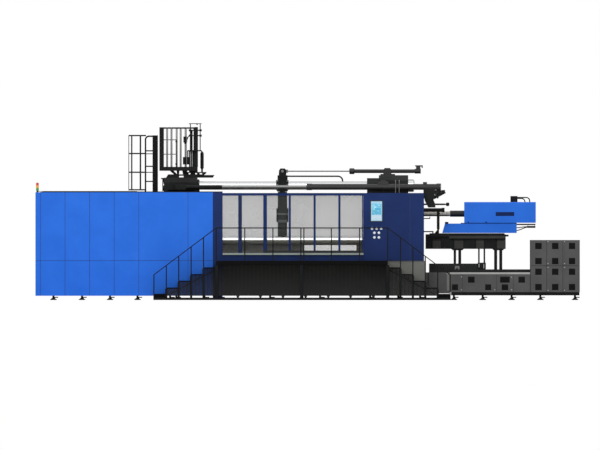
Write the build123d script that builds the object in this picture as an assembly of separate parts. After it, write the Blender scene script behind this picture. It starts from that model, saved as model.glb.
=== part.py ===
from build123d import *
import math
import os

os.makedirs("parts", exist_ok=True)

# Two-component injection molding machine. Millimetres, X along the machine with the clamp
# end at negative X, operator's side at negative Y, Z up from the floor, centre line Y = 0.

# Overall envelope
half_length = 8710
side_y = 1850            # outer face of the sheet-metal guarding
strip_y = 2660           # outer edge of the walkways
ground_clear = 134       # air under the housing and the bed
housing_top = 3446
walkway_top = 1250
panel_bottom = 1258      # underside of the dark blue guarding above the walkway
panel_top = 3424

# Clamp housing
housing_end = -4615      # closed block up to here, open-topped walls after it
wall_end = -3034
wall_thick = 60
panel_pitch = 787
first_seam = -8550
seam_wide = 16
seam_deep = 20
low_seam_z = 1261
roof_top = housing_top + 28

# Tie bars, platens and their axis
axis_z = 2778
tie_bar_d = 265
tie_bar_y = 1050
tie_bar_low = 1917
tie_bar_high = 3660
platen_half = 1450
moving_x0, moving_x1 = -4600, -3523
fixed_x0, fixed_x1, fixed_x2 = 1901, 2279, 3219
platen_top = 3914
fixed_top = 3994
bed_top = 1510
ram_d = 800
ram_bore_d = 820

# Mould faces
locating_d = 250
locating_deep = 60
mould_bolt_d = 33
mould_bolt_deep = 110
mould_bolt_y = 1120
mould_bolt_z = 840

# Turning platen on its carriage
turn_x = -806
turn_thick = 296
turn_half = 800
turn_z0, turn_z1 = 1994, 3462
pivot_d = 180
cross_z0 = 3474

# Traverse cylinders, one along each side
traverse_y = 1580
traverse_z = 3620
traverse_d = 190
rod_d = 110

# Gates and windows
post_x1 = -2720
gate_x0, gate_x1 = -1418, 1780
gate_outer_y = 1906
gate_inner_y = 1856
track_top = 1504
window_top = 3341

# Walkway and stairs
walk_x0, walk_x1 = -2925, 2563
going = 397
tread_tops = [198, 400, 618, 829, 1046]
tread_thick = 40
rail_height_z = 2323
rail_start_z = 832
rail_w = 36

# Injection end
barrel_z = 2762
cabinet_half = 1100
cabinet_x0, cabinet_x1 = 3789, 7117
cabinet_z0, cabinet_z1 = 250, 886
switch_top = 1920
beam_x0, beam_x1 = 3773, 6339
beam_top = 2106


def box(x0, x1, y0, y1, z0, z1):
    # a square block between three pairs of limits
    centre = Pos((x0 + x1) / 2, (y0 + y1) / 2, (z0 + z1) / 2)
    return centre * Box(abs(x1 - x0), abs(y1 - y0), abs(z1 - z0))


def side_profile(points, y0, y1):
    # an outline in X and Z, carried across from y0 to y1
    face = make_face(Polyline(*[(x, y0, z) for x, z in points], close=True))
    return extrude(face, amount=y1 - y0, dir=(0, 1, 0))


def end_profile(points, x0, x1):
    # an outline in Y and Z, carried along from x0 to x1
    face = make_face(Polyline(*[(x0, y, z) for y, z in points], close=True))
    return extrude(face, amount=x1 - x0, dir=(1, 0, 0))


def round_x(x0, x1, y, z, d):
    return Pos((x0 + x1) / 2, y, z) * Rot(0, 90, 0) * Cylinder(d / 2, x1 - x0)


def round_y(x, y0, y1, z, d):
    return Pos(x, (y0 + y1) / 2, z) * Rot(90, 0, 0) * Cylinder(d / 2, y1 - y0)


def round_z(x, y, z0, z1, d):
    return Pos(x, y, (z0 + z1) / 2) * Cylinder(d / 2, z1 - z0)


def turned_x(steps, y, z):
    # a turned part along X from (x, radius) steps, closed on its own axis
    points = [(steps[0][0], 0)] + steps + [(steps[-1][0], 0)]
    face = make_face(Polyline(*[(px, 0, r) for px, r in points], close=True))
    return Pos(0, y, z) * revolve(face, Axis.X)


def bar_along(path, d):
    # thin bars and pipes have eight flats, which keeps their many copies light
    start = Plane(origin=path @ 0, z_dir=path % 0)
    return sweep(start * RegularPolygon(d / 2, 8), path=path)


def straight_bar(start, end, d):
    return bar_along(Line(start, end), d)


def bent_bar(points, radius, d):
    return bar_along(FilletPolyline(*points, radius=radius), d)


def other_side(shape):
    return mirror(shape, about=Plane.XZ)


def save(name, *shapes):
    solids = [solid for shape in shapes for solid in shape.solids()]
    whole = solids[0] if len(solids) == 1 else Compound(solids)
    export_step(whole, f"parts/{name}.step")


def save_pair(name, *shapes):
    save(name, *shapes, *[other_side(shape) for shape in shapes])


def cut_seams(shape, seam_xs, x0, x1):
    # narrow shadow gaps between the sheet panels, on both long faces
    for face_y in (-side_y, side_y):
        near, far = face_y - seam_deep, face_y + seam_deep
        for x in seam_xs:
            shape -= box(x - seam_wide / 2, x + seam_wide / 2, near, far, ground_clear, housing_top)
        shape -= box(x0, x1, near, far, low_seam_z - seam_wide / 2, low_seam_z + seam_wide / 2)
    return shape


def clamp_housing():
    block = box(-half_length, housing_end, -side_y, side_y, ground_clear, housing_top)
    seams = [first_seam + i * panel_pitch for i in range(5)]
    block = cut_seams(block, seams, -half_length, housing_end)
    ram_bore_depth = 1265
    return block - round_x(housing_end - ram_bore_depth, housing_end, 0, axis_z, ram_bore_d)


def guard_walls():
    # open-topped walls beside the moving platen, with an inward flange along the top
    flange = 200
    wall = box(housing_end, wall_end, -side_y, -side_y + wall_thick, ground_clear, housing_top)
    wall += box(housing_end, wall_end, -side_y, -side_y + flange, housing_top - 24, housing_top)
    return cut_seams(wall, [first_seam + 6 * panel_pitch], housing_end, wall_end)


def roof_trim():
    # dark edge plate: a lid over the closed housing, then one strip along each open wall
    strip = 200
    lid = side_profile([(-8590, housing_top), (post_x1, housing_top), (post_x1, roof_top), (-8440, roof_top)],
                       -side_y, side_y)
    return lid - box(housing_end, post_x1, -side_y + strip, side_y - strip, housing_top, roof_top)


def levelling_foot(x, y, top):
    # wedge mount: a shoe, the wedge on it, its side screw and a hexagonal stem
    foot = box(x - 105, x + 105, y - 75, y + 75, 0, 26)
    foot += side_profile([(x - 80, 26), (x + 80, 26), (x + 56, 62), (x - 56, 62)], y - 55, y + 55)
    foot += box(x + 40, x + 150, y - 16, y + 16, 70, 102) + box(x + 30, x + 50, y - 40, y + 40, 62, 102)
    return foot + Pos(x, y, 62) * extrude(RegularPolygon(34, 6), amount=top - 62)


bed_inner, bed_outer = 850, 1150


def bed_girder():
    return box(housing_end, walk_x1, -bed_outer, -bed_inner, ground_clear, bed_top)


def bed_crossmembers():
    # deep webs low down, and thin ties under the slideways
    cross_pitch = 1370
    webs = [housing_end + 60 + i * cross_pitch for i in range(6)]
    members = [box(x, x + 160, -bed_inner, bed_inner, 400, 1350) for x in webs]
    ties = (-2700, -1200, 200, 1600)
    return members + [box(x, x + 120, -bed_inner, bed_inner, 1440, bed_top) for x in ties]


def bed_slideway():
    # carries the turning platen, an open frame from the middle on
    way = box(-2771, 1792, -820, -620, bed_top, 1792)
    return way - box(-106, 1562, -820, -620, 1540, 1756)


def bed_end_frame():
    frame = box(walk_x1, cabinet_x0, -side_y, side_y, ground_clear, panel_bottom)
    for y0 in (-1150, 850):
        frame += box(2700, 3200, y0, y0 + 300, panel_bottom, bed_top)
    return frame


def mould_bolt_holes(x0, x1):
    holes = [round_x(x0, x1, y, axis_z + z, mould_bolt_d)
             for y in (-mould_bolt_y / 2, mould_bolt_y / 2) for z in (-mould_bolt_z / 2, mould_bolt_z / 2)]
    return holes


def tie_bar_places():
    return [(y, z) for y in (-tie_bar_y, tie_bar_y) for z in (tie_bar_low, tie_bar_high)]


def stationary_platen():
    w = platen_half
    corner = 160
    front = [(-w, bed_top), (w, bed_top), (w, platen_top - 13 - corner), (w - corner, platen_top - 13),
             (-w + corner, platen_top - 13), (-w, platen_top - 13 - corner)]
    platen = end_profile(front, fixed_x0, fixed_x1)
    back = [(-w + 60, bed_top), (w - 60, bed_top), (w - 60, fixed_top - corner), (w - 60 - corner, fixed_top),
            (-w + 60 + corner, fixed_top), (-w + 60, fixed_top - corner)]
    platen += end_profile(back, fixed_x1, fixed_x2)
    platen -= box(fixed_x1, fixed_x2, -500, 500, 2300, 3250)
    # cored pockets between the ribs of the sides
    for z0 in (1750, 2350, 2950):
        for x0 in (2380, 2830):
            platen -= box(x0, x0 + 330, -w, -w + 240, z0, z0 + 430)
            platen -= box(x0, x0 + 330, w - 240, w, z0, z0 + 430)
    for y, z in tie_bar_places():
        platen -= round_x(fixed_x0, fixed_x2, y, z, tie_bar_d + 2)
    platen -= round_x(fixed_x0, fixed_x0 + locating_deep, 0, axis_z, locating_d)
    platen -= round_x(fixed_x0 + locating_deep, fixed_x1, 0, axis_z, locating_d - 40)
    for hole in mould_bolt_holes(fixed_x0, fixed_x0 + mould_bolt_deep):
        platen -= hole
    return platen


def tie_bars():
    bars = []
    for y, z in tie_bar_places():
        bar = round_x(housing_end, fixed_x2 + 210, y, z, tie_bar_d)
        nut = round_x(fixed_x2, fixed_x2 + 170, y, z, 400)
        bars.append(bar + nut)
    return bars


def traverse_cylinder():
    r = traverse_d / 2
    steps = [(-35, 107), (141, 107), (141, r), (4125, r), (4125, 110), (4262, 110)]
    barrel = turned_x(steps, -traverse_y, traverse_z)
    barrel -= round_x(-35, 3900, -traverse_y, traverse_z, rod_d + 4)
    barrel += box(3693, 3821, -traverse_y - 50, -traverse_y + 50, traverse_z + 60, traverse_z + 155)
    barrel -= round_x(3600, 3900, -traverse_y, traverse_z, rod_d + 4)
    # two saddles that bolt it to the side of the stationary platen
    reach = [(1950, 1), (2950, 60 + 1)]
    for x, inset in reach:
        saddle = box(x, x + 180, -traverse_y, -platen_half - 1 + inset, traverse_z - 70, traverse_z + 70)
        barrel += saddle - round_x(x - 10, x + 190, -traverse_y, traverse_z, traverse_d - 6)
    # a stepped valve block on its back
    for x0, x1, z1 in ((2253, 2586, 3800), (2330, 2500, 3832)):
        block = box(x0, x1, -traverse_y - 55, -traverse_y + 55, traverse_z, z1)
        barrel += block - round_x(x0 - 10, x1 + 10, -traverse_y, traverse_z, traverse_d - 6)
    return barrel


def riser_pipes():
    # two pipes a side, up past the traverse cylinder and into the stationary platen
    risers = []
    for x in (2816, 2931):
        path = [(x, -1700, panel_bottom), (x, -1700, 3830), (x, -platen_half + 60, 3830)]
        risers.append(bent_bar(path, 60, 26))
    return risers


def traverse_rod():
    return round_x(-2739, 400, -traverse_y, traverse_z, rod_d)


def platen_sleeve():
    return round_x(-3900, -2739, -traverse_y, traverse_z, 124)


def centre_cylinder():
    z = 4122
    steps = [(1334, 70), (1354, 95), (1487, 95), (1507, 61), (3430, 61), (3430, 77), (3623, 77)]
    cylinder = turned_x(steps, 0, z)
    # port block with its cover plate and elbow at the closed end
    cylinder += box(3470, 3610, -45, 45, z + 60, z + 150) + box(3440, 3686, -50, 50, z + 150, z + 190)
    cylinder += box(3646, 3686, -20, 20, z + 104, z + 150)
    # rounded trunnion bracket on a foot, clamped round the barrel
    cheek = side_profile([(2422, fixed_top), (2682, fixed_top), (2682, 4150), (2640, 4224),
                          (2464, 4224), (2422, 4150)], -130, 130)
    cylinder += cheek + box(2330, 2800, -260, 260, fixed_top, fixed_top + 40)
    return cylinder - round_x(1334, 3380, 0, z, 50)


def gate_frame():
    inner, outer = -1790, -1840
    frame = box(wall_end, post_x1, -side_y, inner, 0, housing_top)
    frame += box(post_x1, 1789, outer, inner, window_top, panel_top)
    frame += box(post_x1, 1789, outer, inner, panel_bottom, 1440)
    frame += box(-2219, -2176, outer, inner, 1440, window_top)
    frame += box(-2144, -2101, outer, inner, 1440, window_top)
    frame += box(gate_x0, -1302, outer, inner, 1440, window_top)
    return frame


def fixed_windows():
    limits = [(post_x1, -2219), (-2101, gate_x0)]
    return [box(x0, x1, -1822, -1812, 1440, window_top) for x0, x1 in limits]


def gate_track():
    track = box(post_x1, 1789, -1905, -1840, 1443, track_top)
    return track - box(post_x1, 1789, -1890, -1870, track_top - 20, track_top)


gate_stiles = [(gate_x0, gate_x0 + 116), (-604, -536), (190, 258), (984, 1052), (1744, gate_x1)]
gate_low, gate_high = 1512, 3404


def sliding_gate():
    gate = box(gate_x0, gate_x1, -gate_outer_y, -gate_inner_y, window_top, gate_high)
    gate += box(gate_x0, gate_x1, -gate_outer_y, -gate_inner_y, gate_low, gate_low + 40)
    for x0, x1 in gate_stiles:
        gate += box(x0, x1, -gate_outer_y, -gate_inner_y, gate_low, gate_high)
    # a bow handle on the closing stile
    grip_x, grip_z, reach = 1762, 2784, 60
    grip = [(grip_x, -gate_outer_y + 2, grip_z - 110), (grip_x, -gate_outer_y - reach, grip_z - 110),
            (grip_x, -gate_outer_y - reach, grip_z + 110), (grip_x, -gate_outer_y + 2, grip_z + 110)]
    return gate + bent_bar(grip, 25, 22)


def gate_panes():
    panes = []
    for (a, b), (c, d) in zip(gate_stiles, gate_stiles[1:]):
        panes.append(box(b, c, -1886, -1878, gate_low + 40, window_top))
    return panes


def side_panel(has_screen):
    panel = box(1789, 3725, -1900, -1790, panel_bottom, panel_top)
    panel -= box(3271, 3283, -1910, -1892, panel_bottom, panel_top)
    if has_screen:
        panel -= box(*screen_x, -1910, -1888, *screen_z)
    return panel


screen_x = (2029, 2384)
screen_z = (2528, 3158)
button_places = [(2061, 2288), (2208, 2288), (2355, 2288), (2138, 2150), (2282, 2150), (2138, 2003),
                 (2282, 2003)]


def control_screen():
    screen = box(screen_x[0] + 2, screen_x[1] - 2, -1914, -1888, screen_z[0] + 2, screen_z[1] - 2)
    screen -= box(screen_x[0] + 22, screen_x[1] - 22, -1920, -1910, 2730, 3090)
    return screen


def push_buttons():
    buttons = []
    collar = extrude(RegularPolygon(42, 16), amount=8)
    cap = Pos(0, 0, 8) * extrude(RegularPolygon(32, 16), amount=18, taper=12)
    for x, z in button_places:
        buttons.append(Pos(x, -1900, z) * Rot(90, 0, 0) * (collar + cap))
    return buttons


post_xs = [-4918 + going * i for i in range(5)]
right_post_xs = [4560 - going * i for i in range(5)]
walk_post_xs = [walk_x0, -2010, -1110, -215, 760, 1664, walk_x1]


edge_beams = ((-1972, 60), (-strip_y, rail_w))     # inner and outer edge, with the width of the legs
edge_deep = 140


def walkway():
    deck = box(walk_x0, walk_x1, -strip_y + 20, -1912, walkway_top - 40, walkway_top)
    for y0, leg in edge_beams:
        deck += box(walk_x0, walk_x1, y0, y0 + 60, walkway_top - edge_deep, walkway_top)
    return deck


def walkway_frames():
    # a base rail on the floor with the legs on it, along the inner and the outer edge
    frames = []
    for y0, leg in edge_beams:
        frame = box(post_xs[0] - 18, right_post_xs[0] + 18, y0, y0 + 60, 0, 60)
        for x in (walk_x0, -1110, -215, 760, walk_x1 - 60):
            frame += box(x, x + 60, y0, y0 + leg, 60, walkway_top - edge_deep)
        frames.append(frame)
    frames[0] += inner_stringer(post_xs[0], 1) + inner_stringer(right_post_xs[0], -1)
    return frames


def flight_outline(first_post, side, drop):
    # stepped edge under the treads of one flight; side is +1 where it climbs towards +X
    points = []
    for i in range(1, 5):
        x = first_post + side * going * i
        top = tread_tops[i] - drop
        points += [(x, top), (x + side * going, top)]
    return points


def stair_skirts():
    # one stepped panel from stair to stair, standing on the base rail on small feet
    y0, y1 = -strip_y + rail_w, -strip_y + rail_w + 12
    left = flight_outline(post_xs[0], 1, tread_thick)
    right = flight_outline(right_post_xs[0], -1, tread_thick)
    low = ground_clear
    panels = []
    flight = side_profile([(left[0][0], low)] + left + [(left[-1][0], low)], y0, y1)
    panels.append(flight)
    flight = side_profile([(right[0][0], low)] + right + [(right[-1][0], low)], y0, y1)
    panels.append(flight)
    middle = box(left[-1][0], right[-1][0], y0, y1, low, walkway_top - 140)
    for x in (-2230, -1510, -787, -64, 662, 1376, 2106):
        middle += box(x - 40, x + 40, y0, y1, 60, low)
    whole = panels[0] + middle + panels[1]
    for x in post_xs[1:] + right_post_xs[1:]:
        whole += box(x - 30, x + 30, y0, y1, 60, low)
    return whole


def steps():
    # five treads a flight, each a folded tray; the first stands on its own cheeks
    treads = []
    for first_post, side in ((post_xs[0], 1), (right_post_xs[0], -1)):
        for i, top in enumerate(tread_tops):
            a = first_post + side * going * i
            b = a + side * (going - 8)
            x0, x1 = min(a, b), max(a, b)
            tread = box(x0, x1, -strip_y + 48, -1912, top - tread_thick, top)
            tread -= box(x0 + 12, x1 - 12, -strip_y + 60, -1924, top - tread_thick, top - 12)
            if i == 0:
                for y0 in (-strip_y + 48, -1924):
                    tread += box(x0, x1, y0, y0 + 12, 60, top)
            treads.append(tread)
    return treads


def inner_stringer(first_post, side):
    # its slanted top passes under the back edge of every tread
    x0 = first_post + side * going
    x1 = first_post + side * going * 5
    low, high = tread_tops[1] - tread_thick, tread_tops[-1] - tread_thick
    rise = (high - low) / 3
    return side_profile([(x0, 0), (x0, low - rise), (x1, high), (x1, high - 250), (x0 + side * 300, 0)],
                        -1912, -1902)


def handrail():
    # square-tube posts with a rail that climbs both flights and runs level between them
    y0, y1 = -strip_y, -strip_y + rail_w
    half = rail_w / 2
    run = 5 * going
    slope = (rail_height_z - rail_start_z) / run

    def rail_z(x):
        if x < walk_x0:
            return rail_height_z - slope * (walk_x0 - x)
        if x > walk_x1:
            return rail_height_z - slope * (x - walk_x1)
        return rail_height_z

    ends = (post_xs[0] - half, right_post_xs[0] + half)
    knots = [ends[0], walk_x0, walk_x1, ends[1]]
    top = [(x, rail_z(x)) for x in knots]
    low = [(x, z - rail_w) for x, z in reversed(top)]
    rail = side_profile(top + low, y0, y1)
    for x in post_xs + right_post_xs:
        rail += box(x - half, x + half, y0, y1, 60, rail_z(x) - rail_w / 2)
    for x in walk_post_xs + [walk_post_xs[3] + 96]:
        rail += box(x - half, x + half, y0, y1, walkway_top, rail_height_z - rail_w / 2)
    return rail


def signal_lamp():
    # a foot, three lenses with waists between them, and a cap
    rings = ((34, housing_top, 3500), (44, 3500, 3580), (38, 3580, 3588), (44, 3588, 3664), (38, 3664, 3672),
             (44, 3672, 3740), (32, 3740, 3754))
    lamp = None
    for r, z0, z1 in rings:
        ring = Pos(0, 0, z0) * extrude(RegularPolygon(r, 16), amount=z1 - z0)
        lamp = ring if lamp is None else lamp + ring
    return Pos(-8646, -1700, 0) * lamp


ladder_top = 5265
ladder_x = -5187
ladder_half = 240


def roof_ladder():
    ladder = None
    for y in (-ladder_half, ladder_half):
        path = [(ladder_x, y, roof_top), (ladder_x, y, ladder_top - 25), (-4960, y, ladder_top - 25)]
        stile = bent_bar(path, 110, 50)
        column = box(-4963, -4790, y - 40, y + 40, roof_top, 5270)
        side = stile + column
        for z in (3795, 4278, 4774):
            side += box(ladder_x, -4900, y - 15, y + 15, z - 20, z + 20)
        ladder = side if ladder is None else ladder + side
    rung_pitch = 280
    for i in range(6):
        z = housing_top + rung_pitch * (i + 1)
        ladder += straight_bar((ladder_x, -ladder_half, z), (ladder_x, ladder_half, z), 34)
    for z in (3900, 4600, 5190):
        ladder += box(-4910, -4850, -ladder_half, ladder_half, z, z + 60)
    return ladder


def cage_outline(grow):
    # a U in plan, open towards the ladder, with a half-round far end
    r = 330 + grow
    centre_x = -5728 + 330
    return Pos(centre_x, 0) * Circle(r) + Pos((centre_x + ladder_x) / 2, 0) * Rectangle(ladder_x - centre_x, 2 * r)


def ladder_cage():
    hoop = cage_outline(0) - cage_outline(-12)
    hoop -= Pos(ladder_x + 200, 0) * Rectangle(400, 900)
    cage = None
    for z in (3505, 4066, 4665, 5240):
        ring = extrude(Pos(0, 0, z) * hoop, amount=44)
        cage = ring if cage is None else cage + ring
    centre_x = -5728 + 330
    for angle in (180, 135, 225):
        x = centre_x + 324 * math.cos(math.radians(angle))
        y = 324 * math.sin(math.radians(angle))
        cage += Pos(x, y, 4394) * Rot(0, 0, angle) * Box(12, 50, 1778)
    for y in (-324, 324):
        cage += box(-5375, -5325, y - 6, y + 6, 3505, 5284)
    # short arms tie the hoops to the ladder's stiles
    for z in (3505, 4066, 4665, 5240):
        for y in (-1, 1):
            cage += box(ladder_x - 20, ladder_x + 20, y * 265, y * 330, z, z + 44)
    return cage


def moving_platen():
    w = platen_half
    corner = 150
    outline = [(-w, 1518), (-900, 1518), (-900, 1815), (900, 1815), (900, 1518), (w, 1518),
               (w, platen_top - corner), (w - corner, platen_top), (-w + corner, platen_top),
               (-w, platen_top - corner)]
    platen = end_profile(outline, moving_x0, moving_x1)
    for z0 in (1750, 2400, 3050):
        for x0 in (-4480, -3980):
            platen -= box(x0, x0 + 360, -w, -w + 240, z0, z0 + 470)
            platen -= box(x0, x0 + 360, w - 240, w, z0, z0 + 470)
    raised = side_profile([(-4530, platen_top), (moving_x1, platen_top), (moving_x1, 4022), (-4463, 4022)],
                          -900, 900)
    platen += raised - box(-4109, -3971, -900, 900, 3926, 3974)
    for y, z in tie_bar_places():
        platen += round_x(moving_x1, moving_x1 + 50, y, z, 400)
    for y, z in tie_bar_places():
        platen -= round_x(moving_x0, moving_x1 + 50, y, z, tie_bar_d + 14)
    platen -= round_x(moving_x1 - locating_deep, moving_x1, 0, axis_z, locating_d)
    for hole in mould_bolt_holes(moving_x1 - mould_bolt_deep, moving_x1):
        platen -= hole
    for y0 in (-1642, platen_half):
        platen += box(-4243, -3900, y0, y0 + 192, traverse_z - 90, traverse_z + 90)
    return platen


def clamp_ram():
    return round_x(-5850, moving_x0, 0, axis_z, ram_d)


def unit_base():
    # slanted-end trays that carry the upright unit and its catch pan
    upper = side_profile([(-3950, 4022), (-3270, 4022), (-3226, 4096), (-3950, 4096)], -420, 420)
    for x0, x1 in ((-3805, -3680), (-3594, -3540), (-3453, -3376)):
        upper -= box(x0, x1, -420, 420, 4022, 4062)
    lower = side_profile([(moving_x1, platen_top), (-3030, platen_top), (-2979, 4000),
                          (moving_x1, 4000)], -560, 560)
    lower += box(moving_x1, -3300, -420, 420, 3990, 4022)
    return upper + lower


platform_x0 = -4742
platform_half = 950
platform_z0, platform_z1 = 4134, 4262


def service_platform():
    deck = box(platform_x0, moving_x1, -platform_half, platform_half, platform_z0, platform_z1)
    deck -= box(platform_x0 + 80, moving_x1 - 60, -platform_half + 60, platform_half - 60,
                platform_z0, platform_z1 - 20)
    deck -= box(-4010, moving_x1, -460, 460, platform_z0, platform_z1)
    # raking legs down to the top of the moving platen, given by their ends along X
    high = platform_z1 - 20
    legs = ((-4540, -4400, -4280, -4170), (-4200, -4090, -4180, -4110), (-4030, -3830, -3990, -3860),
            (-3680, -3560, -3760, -3640))
    for a, b, c, d in legs:
        for y0 in (-700, 580):
            deck += side_profile([(a, high), (b, high), (d, 4022), (c, 4022)], y0, y0 + 120)
    return deck


def platform_guard():
    top = 5528
    y0, y1 = -platform_half, -platform_half + 40
    side = box(platform_x0, platform_x0 + 144, y0, y0 + 90, platform_z1, top)
    side += box(platform_x0, moving_x1, y0, y1, top - 50, top)
    for x in (-4506, -4362, -4038, -3872, -3560):
        side += box(x - 7, x + 7, y0 + 5, y1 - 5, platform_z1, top - 20)
    # the access frame behind the bars, hung on two knuckles
    for z in (4666, 5126):
        side += box(platform_x0 + 100, -4190, y0 + 5, y1 - 5, z - 12, z + 12)
    side += box(-4214, -4190, y0 + 5, y1 - 5, platform_z1, 5138)
    for z in (4349, 5072):
        side += box(-4232, -4172, y0 - 8, y1, z - 28, z + 28)
    # short end rails beside the way in from the ladder
    for z in (4666, 5126, top - 30):
        side += box(platform_x0 + 10, platform_x0 + 50, y0 + 60, -400, z - 15, z + 15)
    side += box(platform_x0 + 10, platform_x0 + 50, -430, -400, platform_z1, top - 15)
    return side


def upright_unit():
    plates = ((5636, 5655), (5412, 5448), (5242, 5278))
    unit = box(-3616, -3517, -110, 110, 4096, 5536)
    for z0, z1 in plates:
        unit += box(-3795, -3398, -190, 190, z0, z1)
    for x in (-3750, -3437):
        for y in (-150, 150):
            unit += straight_bar((x, y, 4780), (x, y, 5640), 30)
    unit += box(-3795, -3398, -190, 190, 4768, 4796)
    unit += round_z(-3724, 0, 4796, 5412, 90)
    return unit


def unit_drives():
    # the big cylinder with its side box, the accumulator and the motor on its arm
    main = round_z(-3724, 0, 4096, 4768, 147)
    main += box(-3990, -3790, -90, 90, 4336, 4576)
    # accumulator bottle with a narrower foot
    points = [(0, 4096), (30, 4096), (30, 4192), (56, 4222), (56, 4690), (36, 4736), (0, 4736)]
    face = make_face(Polyline(*[(r, 0, z) for r, z in points], close=True))
    bottle = Pos(-3378, 0, 0) * revolve(face, Axis.Z)
    # a pipe from the side box over the front of the unit to the bottle
    front_y, over_z = -225, 4777
    path = [(-3835, -60, 4540), (-3835, -60, over_z), (-3835, front_y, over_z), (-3378, front_y, over_z),
            (-3378, front_y, 4650), (-3378, -20, 4650)]
    motor = box(-3974, -3850, -60, 60, 5040, 5230) + round_z(-3912, 0, 4990, 5040, 70)
    motor += side_profile([(-3850, 5110), (-3850, 5200), (-3795, 5278), (-3795, 5242)], -30, 30)
    return [main + bottle + bent_bar(path, 50, 40), motor]


def crosshead():
    # rides on the two upper tie bars and holds the turning platen's top pivot
    half = 201
    head = box(turn_x - 157, turn_x + 166, -850, 850, cross_z0, 3990)
    head -= box(turn_x - 200, turn_x + 200, -700, -280, 3620, 3840)
    head -= box(turn_x - 200, turn_x + 200, 280, 700, 3620, 3840)
    for y in (-tie_bar_y, tie_bar_y):
        shoe = side_profile([(turn_x - half + 40, 3469), (turn_x + half - 50, 3469), (turn_x + half - 6, 3530),
                             (turn_x + half - 6, 3840), (turn_x - half, 3840), (turn_x - half, 3530)],
                            y - 210, y + 210)
        head += shoe
    for y in (-tie_bar_y, tie_bar_y):
        head -= round_x(turn_x - 300, turn_x + 300, y, tie_bar_high, tie_bar_d + 14)
    for y0 in (-150, 70):
        head += side_profile([(-925, 3990), (-680, 3990), (-682, 4150), (-730, 4211), (-870, 4211),
                              (-915, 4150)], y0, y0 + 80)
    head -= round_y(turn_x, -200, 200, 4122, 88)
    return head - round_z(turn_x, 0, cross_z0, cross_z0 + 80, pivot_d + 2)


def centre_rod():
    eye = round_y(turn_x, -60, 60, 4122, 150) + round_y(turn_x, -160, 160, 4122, 86)
    eye += box(turn_x, -627, -50, 50, 4070, 4174)
    return eye + round_x(-640, 2000, 0, 4122, 40)


def supply_pipe():
    path = [(-640, -350, 3960), (1120, -350, 3960), (1120, -350, 3780)]
    return bent_bar(path, 150, 48)


def centre_saddle():
    saddle = box(-1100, -510, -860, 860, 1800, 1950)
    saddle += round_z(turn_x, 0, 1950, 1985, 620)
    for y0 in (-880, 600):
        saddle += box(-1160, -450, y0, y0 + 280, 1800, 1880)
    return saddle - round_z(turn_x, 0, 1900, 1985, pivot_d + 2)


def turning_platen():
    half = turn_thick / 2
    plate = box(turn_x - half, turn_x + half, -turn_half, turn_half, turn_z0, turn_z1)
    upright = plate.edges().filter_by(Axis.Z)
    plate = fillet(upright, 40)
    plate += round_x(turn_x - 192, turn_x + 192, 0, 2714, 448)
    plate -= round_x(turn_x - 192, turn_x - 132, 0, 2714, locating_d)
    plate -= round_x(turn_x + 132, turn_x + 192, 0, 2714, locating_d)
    for hole in mould_bolt_holes(turn_x - half, turn_x + half):
        plate -= hole
    plate += round_z(turn_x, 0, turn_z1, turn_z1 + 70, pivot_d)
    return plate + round_z(turn_x, 0, turn_z0 - 70, turn_z0, pivot_d)


def injection_barrel():
    steps = [(2330, 22), (2420, 30), (2420, 55), (2560, 75), (4557, 75), (4557, 100), (5011, 100)]
    return turned_x(steps, 0, barrel_z)


def injection_housing():
    cover = box(5011, 7302, -600, 600, 2470, 3136)
    cover = fillet(cover.edges().filter_by(Axis.X).group_by(Axis.Z)[-1], 45)
    for y in (-600, 600):
        cover -= box(6019, 6611, y - 14, y + 14, 2688, 2816)
    return cover


def carriage_cover():
    cover = side_profile([(4308, 2144), (6691, 2144), (6691, 2448), (4394, 2448)], -560, 560)
    cover += box(4394, 4506, -300, 300, 2448, 2500)
    return cover


def carriage_deck():
    deck = box(4900, 7290, -520, 520, 2448, 2470)
    deck += box(6691, 7290, -520, 520, 2394, 2448)
    return deck + box(7021, 7290, -420, -260, 2307, 2394)


def valve_block():
    block = box(6490, 6717, -120, 120, 3136, 3328)
    arches = [(6954, 3290), (7107, 3320)]
    for i, (x, z) in enumerate(arches):
        y = -60 + 120 * i
        path = [(6700, y, z - 40), (x, y, z - 40), (x, y, 3130)]
        block += bent_bar(path, 110, 36)
    return block - box(6400, 7302, -300, 300, 3100, 3136)


def slide_beam():
    beam = box(beam_x0, beam_x1, -480, 480, 1635, 2032)
    beam += box(beam_x0, beam_x1, -600, 600, 2032, beam_top)
    for x0, x1 in ((3997, 4262), (4691, 4986), (5389, 5645), (6058, beam_x1)):
        beam += box(x0, x1, -540, 540, 1640, 1953)
    # flared shoes over the two heavy pairs of columns
    for x0, x1 in ((4589, 5005), (5901, 6304)):
        beam += side_profile([(x0, 1640), (x1, 1640), (x1 - 55, 1590), (x0 + 55, 1590)], -500, 500)
    for y0 in (-340, 260):
        beam += box(3900, 6300, y0, y0 + 80, beam_top, 2136)
    return beam + box(beam_x1, 6430, -60, 60, 2032, 2090)


def beam_base():
    # a low slab along the top of the cabinet with a raised end under the nozzle
    return box(3885, cabinet_x1, -900, 900, cabinet_z1, 982) + box(3885, 5699, -700, 700, 982, 1168)


def beam_columns():
    posts = ((4672, 4752, 1168, 1590), (4822, 4915, 1168, 1590), (5456, 5507, 1168, 1635),
             (5629, 5683, 1168, 1635), (5968, 6067, 982, 1590), (6131, 6230, 982, 1590))
    return [box(x0, x1, y0, y0 + 120, z0, z1) for x0, x1, z0, z1 in posts for y0 in (-460, 340)]


def vent_pockets(columns, rows, depth):
    # shallow square recesses for the louvres, on both long faces
    pockets = []
    for x0, x1 in columns:
        for z0, z1 in rows:
            for y in (-cabinet_half, cabinet_half):
                pockets.append(box(x0, x1, y - depth, y + depth, z0, z1))
    return pockets


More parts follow.
